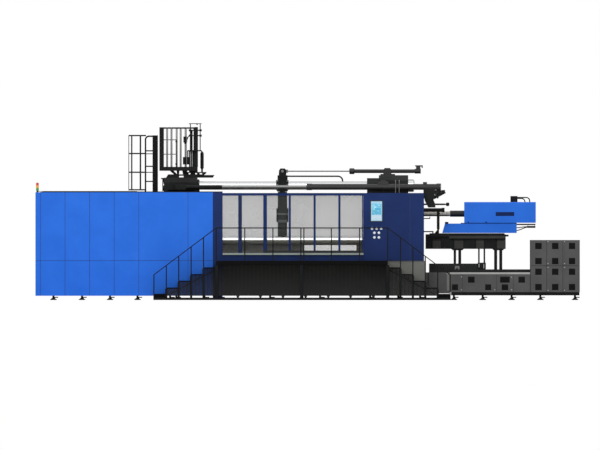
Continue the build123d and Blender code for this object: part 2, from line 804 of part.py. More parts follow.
def base_cabinet():
    cabinet = box(cabinet_x0, cabinet_x1, -cabinet_half, cabinet_half, cabinet_z0, cabinet_z1)
    upper = ((5133, 5344), (6160, 6467), (6746, 6957))
    lower = ((4621, 4813), (5683, 5875), (6211, 6419))
    for pocket in vent_pockets(upper, ((554, 749),), 14) + vent_pockets(lower, ((314, 502),), 14):
        cabinet -= pocket
    return cabinet


def cabinet_plinth():
    return box(4589, half_length - 10, -1050, 1050, 147, cabinet_z0)


def switch_cabinet():
    cabinet = box(cabinet_x1 + 2, half_length, -cabinet_half, cabinet_half, cabinet_z0, switch_top)
    columns = ((7283, 7491), (7821, 8026), (8362, 8563))
    rows = ((314, 515), (803, 1005), (1146, 1347), (1629, 1830))
    for pocket in vent_pockets(columns, rows, 14):
        cabinet -= pocket
    for y in (-cabinet_half, cabinet_half):
        for x in (7647, 8211):
            cabinet -= box(x - 4, x + 4, y - 6, y + 6, cabinet_z0, switch_top)
        cabinet -= box(cabinet_x1 + 2, half_length, y - 6, y + 6, 1084, 1092)
    return cabinet


def valve_manifold():
    # drilled block under the traverse cylinder, with its pump motor set at a slant
    y0, y1 = -traverse_y - 80, -traverse_y + 80
    block = side_profile([(3706, 3570), (4070, 3570), (4070, 3330), (4030, 3200), (4090, 3060), (4090, 2960),
                          (3860, 2960), (3760, 3150), (3706, 3330)], y0, y1)
    block -= round_x(3600, 4200, -traverse_y, traverse_z, traverse_d)
    motor = Pos(4030, -traverse_y, 3270) * Rot(0, 62, 0) * Pos(0, 0, 210) * Cylinder(52, 420)
    flange = Pos(4030, -traverse_y, 3270) * Rot(0, 62, 0) * Pos(0, 0, 120) * Cylinder(80, 60)
    return block + motor + flange


def nozzle_guides():
    y = -420
    z = 2880
    cylinder = turned_x([(fixed_x1, 60), (4290, 60), (4290, 72), (4384, 72)], y, z)
    post = box(4150, 4208, y - 40, y + 40, beam_top, z - 20)
    gusset = side_profile([(4040, beam_top), (4150, beam_top), (4150, 2250)], y - 10, y + 10)
    foot = box(4030, 4240, y - 70, y + 70, beam_top, beam_top + 24)
    rod = straight_bar((fixed_x1, y, 3062), (4440, y, 3062), 32)
    knob = turned_x([(4425, 30), (4445, 58), (4515, 58), (4535, 30)], y, 3062)
    bar = box(fixed_x2, 4030, y - 30, y + 30, 2170, 2208) + box(3990, 4030, y - 30, y + 30, beam_top, 2208)
    return [cylinder + post + gusset + foot + bar, rod + knob]


def feet():
    placed = []
    for side in (-1, 1):
        for x in (-8134, -7219, -6323, -5443):
            placed.append(levelling_foot(x, side * 1700, ground_clear))
        for x in (-4400, -3300):
            placed.append(levelling_foot(x, side * 1785, ground_clear))
    for y in (-1000, 1000):
        for x in (-4200, -2800, -1200, 400, 2000, 2900, 3600):
            placed.append(levelling_foot(x, y, ground_clear))
        for x in (4680, 5603, 6528, 7446, 8555):
            placed.append(levelling_foot(x, y, 147))
    return placed


save("clamp_housing", clamp_housing())
save_pair("guard_walls", guard_walls())
save("roof_trim", roof_trim())
save("levelling_feet", *feet())
save_pair("bed_girders", bed_girder())
save("bed_crossmembers", *bed_crossmembers())
save_pair("bed_slideways", bed_slideway())
save("bed_end_frame", bed_end_frame())
save("stationary_platen", stationary_platen())
save("tie_bars", *tie_bars())
save_pair("traverse_cylinders", traverse_cylinder())
save_pair("riser_pipes", *riser_pipes())
save("centre_cylinder", centre_cylinder())
save_pair("gate_frames", gate_frame())
save_pair("fixed_windows", *fixed_windows())
save_pair("gate_tracks", gate_track())
save("side_panels", side_panel(True), other_side(side_panel(False)))
save("control_screen", control_screen())
save("push_buttons", *push_buttons())
save_pair("walkways", walkway())
save_pair("walkway_frames", *walkway_frames())
save_pair("stair_skirts", stair_skirts())
save_pair("steps", *steps())
save_pair("handrails", handrail())
save("signal_lamp", signal_lamp())
save("roof_ladder", roof_ladder())
save("ladder_cage", ladder_cage())
save("base_cabinet", base_cabinet())
save("cabinet_plinth", cabinet_plinth())
save("switch_cabinet", switch_cabinet())
save("slide_beam", slide_beam())
save("beam_base", beam_base())
save("beam_columns", *beam_columns())
save_pair("valve_manifold", valve_manifold())
save_pair("nozzle_guides", *nozzle_guides())
save("moving_platen", moving_platen())
save("clamp_ram", clamp_ram())
save_pair("platen_sleeves", platen_sleeve())
save_pair("traverse_rods", traverse_rod())
save("unit_base", unit_base())
save("service_platform", service_platform())
save_pair("platform_guard", platform_guard())
save("upright_unit", upright_unit())
save("unit_drives", *unit_drives())
save("crosshead", crosshead())
save("centre_rod", centre_rod())
save_pair("supply_pipes", supply_pipe())
save("centre_saddle", centre_saddle())
save("turning_platen", turning_platen())
save("injection_barrel", injection_barrel())
save("injection_housing", injection_housing())
save("carriage_cover", carriage_cover())
save("carriage_deck", carriage_deck())
save("valve_block", valve_block())
save("front_gate", sliding_gate())
save("front_gate_panes", *gate_panes())
save("back_gate", other_side(sliding_gate()))
save("back_gate_panes", *[other_side(pane) for pane in gate_panes()])
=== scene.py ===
import bpy
import math
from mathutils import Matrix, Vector


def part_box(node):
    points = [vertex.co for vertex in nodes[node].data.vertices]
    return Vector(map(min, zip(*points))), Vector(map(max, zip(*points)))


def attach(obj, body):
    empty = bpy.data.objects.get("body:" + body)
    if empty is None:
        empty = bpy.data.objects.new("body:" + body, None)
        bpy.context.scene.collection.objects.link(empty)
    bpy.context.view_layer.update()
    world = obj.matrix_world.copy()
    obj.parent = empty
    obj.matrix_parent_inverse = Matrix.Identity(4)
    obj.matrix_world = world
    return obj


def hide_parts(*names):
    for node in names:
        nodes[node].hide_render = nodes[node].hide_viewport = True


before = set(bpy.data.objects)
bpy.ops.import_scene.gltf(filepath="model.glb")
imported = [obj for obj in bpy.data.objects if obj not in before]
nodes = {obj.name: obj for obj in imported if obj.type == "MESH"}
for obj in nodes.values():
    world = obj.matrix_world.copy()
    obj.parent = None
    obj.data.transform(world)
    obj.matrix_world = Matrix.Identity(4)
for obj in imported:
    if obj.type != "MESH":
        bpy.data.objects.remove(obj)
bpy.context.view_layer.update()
print("stage: frame loaded")

# The photograph is 600 by 450 pixels and 32 mm of the machine's side fill one pixel.
photo = {"mmPerPixel": 32.0, "widthPixels": 600, "zeroX": 307.6, "floorY": 300.0, "middleX": 300,
         "middleY": 225, "farOff": 60}


def photoX(px):
    return (px - photo["zeroX"]) * photo["mmPerPixel"]


def photoZ(py):
    return (photo["floorY"] - py) * photo["mmPerPixel"]


# Camera: a straight side view from far off, as in the photograph.
bpy.ops.object.select_all(action="DESELECT")
bpy.ops.object.camera_add(location=(photoX(photo["middleX"]) / 1000, -photo["farOff"],
                                    photoZ(photo["middleY"]) / 1000), rotation=(math.radians(90), 0, 0))
camera = bpy.context.object
camera.data.type = "ORTHO"
camera.data.ortho_scale = photo["widthPixels"] * photo["mmPerPixel"] / 1000
camera.data.clip_end = 500.0
bpy.context.scene.camera = camera


def linear(hexColour):
    # sRGB hex to the linear colour that the shaders take
    parts = [int(hexColour[i:i + 2], 16) / 255 for i in (1, 3, 5)]
    parts = [p / 12.92 if p <= 0.04045 else ((p + 0.055) / 1.055) ** 2.4 for p in parts]
    return (*parts, 1.0)


def addNode(tree, kind, inputs=None, stops=None, **settings):
    # one shader node with its settings and links; stops are a colour ramp's places and hex colours
    node = tree.nodes.new(kind)
    for key, value in settings.items():
        setattr(node, key, value)
    for key, value in (inputs or {}).items():
        if isinstance(value, bpy.types.NodeSocket):
            tree.links.new(value, node.inputs[key])
        else:
            node.inputs[key].default_value = value
    if stops:
        while len(node.color_ramp.elements) < len(stops):
            node.color_ramp.elements.new(0.5)
        for element, (place, hexColour) in zip(node.color_ramp.elements, stops):
            element.position = place
            element.color = linear(hexColour)
    return node


def startMaterial(name):
    material = bpy.data.materials.new(name)
    material.use_nodes = True
    material.node_tree.nodes.clear()
    place = addNode(material.node_tree, "ShaderNodeTexCoord").outputs["Object"]
    return material, material.node_tree, place


def paintedMetal(name, look):
    # even colour with a faint cloudiness, a fine bump, and gloss that varies with the cloud
    material, tree, place = startMaterial(name)
    cloud = addNode(tree, "ShaderNodeTexNoise", {
        "Vector": place, "Scale": look["cloudPerMetre"], "Detail": 3.0})
    colour = addNode(tree, "ShaderNodeValToRGB", {"Fac": cloud.outputs["Fac"]},
                     [(0.35, look["dark"]), (0.65, look["light"])])
    grain = addNode(tree, "ShaderNodeTexNoise", {
        "Vector": place, "Scale": look["grainPerMetre"], "Detail": 2.0})
    bump = addNode(tree, "ShaderNodeBump", {
        "Height": grain.outputs["Fac"], "Strength": look["bump"], "Distance": look["depth"]})
    gloss = addNode(tree, "ShaderNodeMapRange", {
        "Value": cloud.outputs["Fac"], "To Min": look["rough"] - 0.05, "To Max": look["rough"] + 0.05})
    shader = addNode(tree, "ShaderNodeBsdfPrincipled", {
        "Base Color": colour.outputs["Color"], "Roughness": gloss.outputs["Result"],
        "Normal": bump.outputs["Normal"], "Specular IOR Level": look["shine"]})
    addNode(tree, "ShaderNodeOutputMaterial", {"Surface": shader.outputs["BSDF"]})
    return material


# Powder coat on sheet steel: smooth, half gloss, with orange peel about 3 mm across, drawn at 12 mm to show.
powderCoat = {"cloudPerMetre": 1.5, "grainPerMetre": 80.0, "bump": 0.1, "depth": 0.001, "rough": 0.5,
              "shine": 0.08}
blueCoat = paintedMetal("blue powder coat", {
    **powderCoat, "dark": "#1F67D3", "light": "#256DDB", "cloudPerMetre": 1.2, "rough": 0.45, "shine": 0.15})
navyCoat = paintedMetal("navy powder coat", {**powderCoat, "dark": "#192B5A", "light": "#1D3062"})
# Rails that hands keep free of dirt: near black and even, without the painted shade grading of the skirts
# under them.
railCoat = paintedMetal("graphite powder coat", {**powderCoat, "dark": "#101113", "light": "#16181A"})
# Structured coat on the cabinets: a dull grain about 1 mm across, drawn at 6 mm.
structured = {"cloudPerMetre": 2.0, "grainPerMetre": 160.0, "bump": 0.3, "depth": 0.001, "rough": 0.6,
              "shine": 0.15}
greyCoat = paintedMetal("grey structured coat", {**structured, "dark": "#4F4F4F", "light": "#555555"})
# A lighter copy of the grey coat: on the bed end frame it is painted light, lifting a face that stands in
# shade under the side panel; it is also used on the cabinet strips.
frameCoat = paintedMetal("grey structured coat painted lighter", {**structured, "dark": "#70706C", "light": "#787874"})
# Powder coat with a finer, rougher peel: black on trim and ladders, pale grey on strips and slats; the pale
# strip along the base cabinet's top edge is a painted highlight.
blackCoat = paintedMetal("black powder coat", {
    **powderCoat, "dark": "#0E0E0F", "light": "#161617", "cloudPerMetre": 2.0, "grainPerMetre": 120.0,
    "bump": 0.2, "rough": 0.55, "shine": 0.12})
paleCoatAndHighlight = paintedMetal("pale grey powder coat and painted highlight", {
    **powderCoat, "dark": "#A2A2A0", "light": "#ACACAA", "cloudPerMetre": 2.0, "grainPerMetre": 120.0,
    "bump": 0.15, "shine": 0.2})
# Enamel over sand-cast iron and welded plate: a soft grain of some 15 mm under the paint.
enamel = {"cloudPerMetre": 2.0, "grainPerMetre": 60.0, "bump": 0.4, "depth": 0.003, "rough": 0.6,
          "shine": 0.12}
castPaint = paintedMetal("painted casting", {
    **enamel, "dark": "#131414", "light": "#1C1D1D", "cloudPerMetre": 3.0, "bump": 0.45})
ribPaint = paintedMetal("painted rib plate", {
    **enamel, "dark": "#323230", "light": "#3A3A38", "cloudPerMetre": 3.0, "bump": 0.3, "depth": 0.002})
platenPaint = paintedMetal("painted steel platen", {**enamel, "dark": "#202121", "light": "#2A2B2B"})
bedPaint = paintedMetal("painted machine bed", {
    **enamel, "dark": "#2E2D28", "light": "#38372F", "rough": 0.65, "shine": 0.15})
# Honed tube under thin paint, and a scraped iron way: both smooth, the way shiny with oil.
cylinderPaint = paintedMetal("painted cylinder tube", {
    **enamel, "dark": "#1F1F1F", "light": "#282828", "grainPerMetre": 90.0, "bump": 0.15, "depth": 0.001,
    "rough": 0.45, "shine": 0.3})
wayPaint = paintedMetal("oiled cast slideway", {
    **enamel, "dark": "#50504B", "light": "#5C5C57", "cloudPerMetre": 4.0, "grainPerMetre": 120.0,
    "bump": 0.2, "depth": 0.001, "rough": 0.35, "shine": 0.3})


def deckShadedSheet(name, look):
    # black coat with painted shade under the decks: near black at the top, greyer downwards, in a soft uneven
    # line
    material, tree, place = startMaterial(name)
    corner = addNode(tree, "ShaderNodeSeparateXYZ", {"Vector": place})
    drift = addNode(tree, "ShaderNodeTexNoise", {
        "Vector": place, "Scale": look["cloudPerMetre"], "Detail": 3.0})
    height = addNode(tree, "ShaderNodeMath", {
        0: drift.outputs["Fac"], 1: look["drift"], 2: corner.outputs["Z"]}, operation="MULTIPLY_ADD")
    level = addNode(tree, "ShaderNodeMapRange", {
        "Value": height.outputs["Value"], "From Min": look["from"], "From Max": look["to"]})
    colour = addNode(tree, "ShaderNodeValToRGB", {"Fac": level.outputs["Result"]},
                     [(0.0, look["shadeGradeTone"]), (1.0, look["shadedTop"])])
    shader = addNode(tree, "ShaderNodeBsdfPrincipled", {
        "Base Color": colour.outputs["Color"], "Roughness": look["rough"],
        "Specular IOR Level": look["shine"]})
    addNode(tree, "ShaderNodeOutputMaterial", {"Surface": shader.outputs["BSDF"]})
    return material


# Painted shade: near black at the tops of the skirts under the decks, grey towards the floor.
deckShadedBlack = deckShadedSheet("black powder coat with painted deck shade", {
    "cloudPerMetre": 1.5, "drift": 0.15, "from": 0.2, "to": 1.15, "shadeGradeTone": "#2C2C2C", "shadedTop": "#060606",
    "rough": 0.6, "shine": 0.08})


def treadPlate(name, look):
    # black steel plate with raised diagonal bars, about 40 mm apart, each way in turn
    material, tree, place = startMaterial(name)
    lines = []
    for degrees in (45, -45):
        turned = addNode(tree, "ShaderNodeMapping", {
            "Vector": place, "Rotation": (0, 0, math.radians(degrees)),
            "Scale": (look["barsPerMetre"], look["barsPerMetre"] / 3, 0)})
        bars = addNode(tree, "ShaderNodeTexVoronoi", {
            "Vector": turned.outputs["Vector"], "Scale": 1.0, "Randomness": 0.0}, voronoi_dimensions="2D")
        lines.append(bars.outputs["Distance"])
    both = addNode(tree, "ShaderNodeMath", {0: lines[0], 1: lines[1]}, operation="MINIMUM")
    raised = addNode(tree, "ShaderNodeMapRange", {
        "Value": both.outputs["Value"], "From Min": look["barTop"], "From Max": look["barFoot"],
        "To Min": 1.0, "To Max": 0.0})
    bump = addNode(tree, "ShaderNodeBump", {
        "Height": raised.outputs["Result"], "Strength": look["bump"], "Distance": look["barHigh"]})
    worn = addNode(tree, "ShaderNodeValToRGB", {"Fac": raised.outputs["Result"]},
                   [(0.0, look["dark"]), (1.0, look["light"])])
    shader = addNode(tree, "ShaderNodeBsdfPrincipled", {
        "Base Color": worn.outputs["Color"], "Roughness": look["rough"], "Normal": bump.outputs["Normal"],
        "Specular IOR Level": look["shine"]})
    addNode(tree, "ShaderNodeOutputMaterial", {"Surface": shader.outputs["BSDF"]})
    return material


stepPlate = treadPlate("black tread plate", {
    "barsPerMetre": 24.0, "barTop": 0.15, "barFoot": 0.3, "barHigh": 0.002, "bump": 0.7, "dark": "#050505",
    "light": "#0E0E0E", "rough": 0.55, "shine": 0.05})


# Painted reflection and shade on a round bar, by how far its surface looks up or down: a dark, less metallic
# underside as a painted reflection of the dark bed, and a painted shade line along the top.
facingShade = {"halfBlend": 0.15, "upLevel": 0.7, "ringShare": 0.3, "topShadeFrom": 0.55, "topShadeFull": 0.8}


def turnedSteel(name, look):
    # narrow turning rings; the underside is painted dark as a painted reflection, and a painted shade line
    # runs along the top
    material, tree, place = startMaterial(name)
    stretch = addNode(tree, "ShaderNodeMapping", {"Vector": place, "Scale": look["stretch"]})
    rings = addNode(tree, "ShaderNodeTexNoise", {
        "Vector": stretch.outputs["Vector"], "Scale": look["marksPerMetre"], "Detail": 2.0})
    facing = addNode(tree, "ShaderNodeNewGeometry")
    upward = addNode(tree, "ShaderNodeSeparateXYZ", {"Vector": facing.outputs["Normal"]})
    facingUp = addNode(tree, "ShaderNodeMapRange", {
        "Value": upward.outputs["Z"], "From Min": -facingShade["halfBlend"], "From Max": facingShade["halfBlend"],
        "To Max": facingShade["upLevel"]})
    tone = addNode(tree, "ShaderNodeMath", {
        0: rings.outputs["Fac"], 1: facingShade["ringShare"], 2: facingUp.outputs["Result"]}, operation="MULTIPLY_ADD")
    tones = [(0.05, look["underReflection"]), (0.3, look["underReflectionLight"]), (0.75, look["dark"]), (0.95, look["light"])]
    bare = addNode(tree, "ShaderNodeValToRGB", {"Fac": tone.outputs["Value"]}, tones)
    topShade = addNode(tree, "ShaderNodeMapRange", {
        "Value": upward.outputs["Z"], "From Min": facingShade["topShadeFrom"], "From Max": facingShade["topShadeFull"],
        "To Max": look["topShadeShare"]})
    colour = addNode(tree, "ShaderNodeMix", {
        6: bare.outputs["Color"], 7: linear(look["shadeGradeTone"]), 0: topShade.outputs["Result"]}, data_type="RGBA")
    rough = addNode(tree, "ShaderNodeMapRange", {
        "Value": rings.outputs["Fac"], "To Min": look["smooth"], "To Max": look["rough"]})
    metal = addNode(tree, "ShaderNodeMapRange", {
        "Value": facingUp.outputs["Result"], "From Max": facingShade["upLevel"], "To Min": look["underMetallic"],
        "To Max": 1.0})
    shader = addNode(tree, "ShaderNodeBsdfPrincipled", {
        "Base Color": colour.outputs[2], "Roughness": rough.outputs["Result"],
        "Metallic": metal.outputs["Result"]})
    addNode(tree, "ShaderNodeOutputMaterial", {"Surface": shader.outputs["BSDF"]})
    return material


# Hard chrome is bright with crisp reflections; zinc is duller, in soft patches; ground steel is satin grey.
# All four take the painted dark underside and the painted shade line along the top.
chromedSteel = turnedSteel("hard-chromed steel", {
    "dark": "#C4C6C7", "light": "#D4D6D7", "underReflection": "#6C6C63", "underReflectionLight": "#7A7A70", "shadeGradeTone": "#8C8D8D",
    "stretch": (1, 0.05, 0.05), "marksPerMetre": 60.0, "smooth": 0.14, "rough": 0.24, "topShadeShare": 0.9,
    "underMetallic": 0.2})
zincSteel = turnedSteel("zinc-plated steel", {
    "dark": "#7F8886", "light": "#8F9996", "underReflection": "#6E7674", "underReflectionLight": "#7A8280", "shadeGradeTone": "#7C8381",
    "stretch": (1, 1, 1), "marksPerMetre": 25.0, "smooth": 0.35, "rough": 0.5, "topShadeShare": 0.3, "underMetallic": 0.9})
groundSteel = turnedSteel("ground steel", {
    "dark": "#747574", "light": "#838482", "underReflection": "#5A5B5A", "underReflectionLight": "#676866", "shadeGradeTone": "#6A6B6A",
    "stretch": (0.2, 1, 1), "marksPerMetre": 90.0, "smooth": 0.4, "rough": 0.55, "topShadeShare": 0.6, "underMetallic": 0.6})
# Rolled aluminium trim and pins: pale, satin, with a faint grain along the strip.
milledAluminium = turnedSteel("milled aluminium", {
    "dark": "#A4A6A6", "light": "#B2B4B4", "underReflection": "#929494", "underReflectionLight": "#9C9E9E", "shadeGradeTone": "#8A8C8C",
    "stretch": (0.1, 1, 1), "marksPerMetre": 60.0, "smooth": 0.35, "rough": 0.5, "topShadeShare": 0.5, "underMetallic": 0.9})


def windowSheet(name, look):
    # cast sheet, 8 and 10 mm, with a faint haze from wiping; on the far side a pale cover is painted light
    # for the backdrop seen through it: thick above the bed and thinner beside it
    material, tree, place = startMaterial(name)
    haze = addNode(tree, "ShaderNodeTexNoise", {
        "Vector": place, "Scale": look["hazePerMetre"], "Detail": 4.0})
    colour = addNode(tree, "ShaderNodeValToRGB", {"Fac": haze.outputs["Fac"]},
                     [(0.3, look["dark"]), (0.7, look["light"])])
    corner = addNode(tree, "ShaderNodeSeparateXYZ", {"Vector": place})
    aboveBed = addNode(tree, "ShaderNodeMapRange", {
        "Value": corner.outputs["Z"], "From Min": look["farLitFrom"],
        "From Max": look["farLitFrom"] + look["blend"]})
    farSide = addNode(tree, "ShaderNodeMapRange", {
        "Value": corner.outputs["Y"], "From Min": -look["middle"], "From Max": look["middle"]})
    upper = addNode(tree, "ShaderNodeMath", {0: aboveBed.outputs["Result"], 1: farSide.outputs["Result"]},
                    operation="MULTIPLY")
    lower = addNode(tree, "ShaderNodeMapRange", {
        "Value": corner.outputs["Z"], "From Min": look["bedBeside"],
        "From Max": look["bedBeside"] - look["blend"]})
    beside = addNode(tree, "ShaderNodeMath", {0: lower.outputs["Result"], 1: farSide.outputs["Result"]},
                     operation="MULTIPLY")
    thin = addNode(tree, "ShaderNodeMath", {0: beside.outputs["Value"], 1: look["farLowLitCover"], 2: look["clear"]},
                   operation="MULTIPLY_ADD")
    cover = addNode(tree, "ShaderNodeMath", {
        0: upper.outputs["Value"], 1: look["farLitCover"], 2: thin.outputs["Value"]}, operation="MULTIPLY_ADD")
    shader = addNode(tree, "ShaderNodeBsdfPrincipled", {
        "Base Color": colour.outputs["Color"], "Roughness": look["rough"], "IOR": 1.58,
        "Alpha": cover.outputs["Value"]})
    addNode(tree, "ShaderNodeOutputMaterial", {"Surface": shader.outputs["BSDF"]})
    return material


# Painted light: the far sheets carry a pale cover that stands in for the bright backdrop seen through them.
windowPanes = windowSheet("polycarbonate sheet", {
    "dark": "#BEC0BE", "light": "#C8CAC8", "hazePerMetre": 1.6, "clear": 0.015, "farLitCover": 0.39,
    "farLitFrom": 2.016, "farLowLitCover": 0.29, "bedBeside": 1.78, "blend": 0.004, "middle": 0.1, "rough": 0.12})


def bandedMaterial(name, node, look):
    # colour in steps along one axis of a CAD node, each from a place in millimetres
    material, tree, place = startMaterial(name)
    low, high = [getattr(corner, look["axis"].lower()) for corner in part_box(node)]
    along = addNode(tree, "ShaderNodeSeparateXYZ", {"Vector": place})
    level = addNode(tree, "ShaderNodeMapRange", {
        "Value": along.outputs[look["axis"]], "From Min": low, "From Max": high})
    stops = [(max(0.0, (start / 1000 - low) / (high - low)), colour) for start, colour in look["bands"]]
    colour = addNode(tree, "ShaderNodeValToRGB", {"Fac": level.outputs["Result"]}, stops)
    colour.color_ramp.interpolation = "CONSTANT"
    grain = addNode(tree, "ShaderNodeTexNoise", {"Vector": place, "Scale": look["grainPerMetre"]})
    bump = addNode(tree, "ShaderNodeBump", {
        "Height": grain.outputs["Fac"], "Strength": look["bump"], "Distance": 0.002})
    shader = addNode(tree, "ShaderNodeBsdfPrincipled", {
        "Base Color": colour.outputs["Color"], "Normal": bump.outputs["Normal"], "Roughness": look["rough"],
        "Specular IOR Level": look["shine"]})
    addNode(tree, "ShaderNodeOutputMaterial", {"Surface": shader.outputs["BSDF"]})
    return material


# Moulded acrylic lenses, red over amber over green between black rings.
lampLenses = bandedMaterial("signal lamp acrylic", "signal_lamp", {
    "axis": "Z", "bands": [(0, "#2A2A2A"), (3500, "#2E9E44"), (3584, "#F0A21E"), (3668, "#D8312A"),
                           (3740, "#2A2A2A")],
    "grainPerMetre": 200.0, "bump": 0.05, "rough": 0.25, "shine": 0.5})
# The platform guard is a black frame; its five upright rods are bare zinc.
guardRods = bandedMaterial("black guard with zinc rods", "platform_guard", {
    "axis": "X", "bands": [(-5000, "#101011"), (-4514, "#858787"), (-4498, "#101011"), (-4370, "#858787"),
                           (-4354, "#101011"), (-4046, "#858787"), (-4030, "#101011"), (-3880, "#858787"),
                           (-3864, "#101011")],
    "grainPerMetre": 120.0, "bump": 0.2, "rough": 0.55, "shine": 0.12})
# The turning platen is cast and painted; two machined bands run round it at mid height.
platenBands = bandedMaterial("cast platen with machined bands", "turning_platen", {
    "axis": "Z", "bands": [(0, "#2B2F2F"), (2483, "#535656"), (2560, "#2B2F2F"), (2720, "#535656"),
                           (2784, "#2B2F2F")],
    "grainPerMetre": 60.0, "bump": 0.3, "rough": 0.6, "shine": 0.12})
# The barrel wears heater bands of stainless sheet, and a black insulating jacket near the housing.
barrelBands = bandedMaterial("stainless heater bands", "injection_barrel", {
    "axis": "X", "bands": [(0, "#8F8C85"), (2560, "#C9C5BB"), (3330, "#A8A49A"), (3350, "#CFCBC1"),
                           (4200, "#A8A49A"), (4220, "#CFCBC1"), (4440, "#A8A49A"), (4460, "#C9C5BB"),
                           (4557, "#1A1A1A")],
    "grainPerMetre": 120.0, "bump": 0.2, "rough": 0.5, "shine": 0.3})


# Spark-eroded grain of a mould, under 1 mm in truth, drawn at 5 mm.
sparkGrain = {"perMetre": 220.0, "bump": 0.1, "depth": 0.0005}


def moulding(name, look):
    # moulded plastic or rubber with the fine grain of its mould
    material, tree, place = startMaterial(name)
    grain = addNode(tree, "ShaderNodeTexNoise", {
        "Vector": place, "Scale": sparkGrain["perMetre"], "Detail": 2.0})
    colour = addNode(tree, "ShaderNodeValToRGB", {"Fac": grain.outputs["Fac"]},
                     [(0.3, look["dark"]), (0.7, look["light"])])
    bump = addNode(tree, "ShaderNodeBump", {
        "Height": grain.outputs["Fac"], "Strength": sparkGrain["bump"], "Distance": sparkGrain["depth"]})
    shader = addNode(tree, "ShaderNodeBsdfPrincipled", {
        "Base Color": colour.outputs["Color"], "Normal": bump.outputs["Normal"], "Roughness": look["rough"]})
    addNode(tree, "ShaderNodeOutputMaterial", {"Surface": shader.outputs["BSDF"]})
    return material


whiteMoulding = moulding("white moulded ABS", {"dark": "#E2E5E8", "light": "#F0F2F4", "rough": 0.35})
paleKeys = moulding("pale key membrane", {"dark": "#CFDCE6", "light": "#DAE6EE", "rough": 0.5})
screenCase = moulding("pale blue moulded case", {"dark": "#9CCBE2", "light": "#AAD5EA", "rough": 0.4})
# Black rubber; the same black also serves as painted shade round the screen, at the navy panel's edge and in
# the plate eye.
blackRubberAndShade = moulding("black EPDM rubber and painted shade", {"dark": "#101011", "light": "#18181A", "rough": 0.7})


def displayGlass(name, look):
    # a lit display behind glass: pale blue fields in a plain grid of large and small tiles
    material, tree, place = startMaterial(name)
    upright = addNode(tree, "ShaderNodeMapping", {"Vector": place, "Rotation": (math.radians(90), 0, 0)})
    tiles = addNode(tree, "ShaderNodeTexBrick", {
        "Vector": upright.outputs["Vector"], "Scale": 1.0, "Color1": linear(look["field"]),
        "Color2": linear(look["pale"]), "Mortar": linear(look["line"]), "Mortar Size": look["lineWide"],
        "Brick Width": look["tileWide"], "Row Height": look["tileHigh"]})
    shader = addNode(tree, "ShaderNodeBsdfPrincipled", {
        "Base Color": tiles.outputs["Color"], "Roughness": look["rough"]})
    addNode(tree, "ShaderNodeOutputMaterial", {"Surface": shader.outputs["BSDF"]})
    return material


litDisplay = displayGlass("display glass", {
    "field": "#3FB4DC", "pale": "#9CDDF0", "line": "#2B8FBF", "lineWide": 0.004, "tileWide": 0.09,
    "tileHigh": 0.06, "rough": 0.15})

finishes = {
    blueCoat: ["clamp_housing", "guard_walls", "injection_housing", "carriage_cover"],
    navyCoat: ["gate_frames", "side_panels", "front_gate", "back_gate"],
    greyCoat: ["base_cabinet", "switch_cabinet"],
    frameCoat: ["bed_end_frame"],
    railCoat: ["handrails"],
    blackCoat: ["roof_trim", "walkway_frames", "stair_skirts", "roof_ladder", "ladder_cage",
                "cabinet_plinth", "service_platform", "levelling_feet", "beam_columns"],
    stepPlate: ["walkways", "steps"],
    guardRods: ["platform_guard"],
    bedPaint: ["bed_girders", "bed_crossmembers"],
    wayPaint: ["bed_slideways"],
    platenPaint: ["beam_base", "stationary_platen"],
    cylinderPaint: ["traverse_cylinders", "centre_cylinder"],
    castPaint: ["slide_beam", "valve_manifold", "nozzle_guides", "moving_platen", "platen_sleeves",
                "unit_base", "upright_unit", "unit_drives", "crosshead", "supply_pipes",
                "centre_saddle", "carriage_deck", "valve_block"],
    platenBands: ["turning_platen"],
    chromedSteel: ["tie_bars", "clamp_ram"],
    groundSteel: ["centre_rod", "riser_pipes", "traverse_rods"],
    barrelBands: ["injection_barrel"],
    zincSteel: ["gate_tracks"],
    windowPanes: ["fixed_windows", "front_gate_panes", "back_gate_panes"],
    lampLenses: ["signal_lamp"],
    whiteMoulding: ["push_buttons"],
    screenCase: ["control_screen"],
}
for material, names in finishes.items():
    for name in names:
        nodes[name].data.materials.clear()
        nodes[name].data.materials.append(material)
print("stage: finishes on the frame")


def startBlock(name, low, high):
    # a block between two corners in millimetres, alone in the selection
    low, high = Vector(low) / 1000, Vector(high) / 1000
    bpy.ops.object.select_all(action="DESELECT")
    bpy.ops.mesh.primitive_cube_add(size=1, location=(low + high) / 2, scale=high - low)
    bpy.ops.object.transform_apply(location=True, rotation=True, scale=True)
    piece = bpy.context.object
    piece.name = name
    return piece


def pickFaces(piece, wanted):
    # selects the faces whose middle and normal are wanted, and stays in edit mode
    bpy.ops.object.mode_set(mode="EDIT")
    bpy.ops.mesh.select_mode(type="FACE")
    bpy.ops.mesh.select_all(action="DESELECT")
    bpy.ops.object.mode_set(mode="OBJECT")
    for face in piece.data.polygons:
        face.select = wanted(face.center, face.normal)
    bpy.ops.object.mode_set(mode="EDIT")


def softEdges(piece, widthMm, segments=1):
    bevel = piece.modifiers.new("edge", "BEVEL")
    bevel.width = widthMm / 1000
    bevel.segments = segments
    bevel.limit_method = "ANGLE"
    bpy.ops.object.modifier_apply(modifier=bevel.name)
    return piece


def onlyThis(*pieces):
    bpy.ops.object.select_all(action="DESELECT")
    for piece in pieces:
        piece.select_set(True)
    bpy.context.view_layer.objects.active = pieces[0]


def copyTo(piece, moves):
    # a copy with its own mesh at each move in millimetres, all joined with the first
    copies = [piece]
    for move in moves:
        onlyThis(piece)
        bpy.ops.object.duplicate()
        bpy.ops.transform.translate(value=Vector(move) / 1000)
        copies.append(bpy.context.object)
    return joinAll(copies)


def joinAll(pieces):
    onlyThis(*pieces)
    if len(pieces) > 1:
        bpy.ops.object.join()
    bpy.ops.object.transform_apply(location=True, rotation=True, scale=True)
    return bpy.context.object


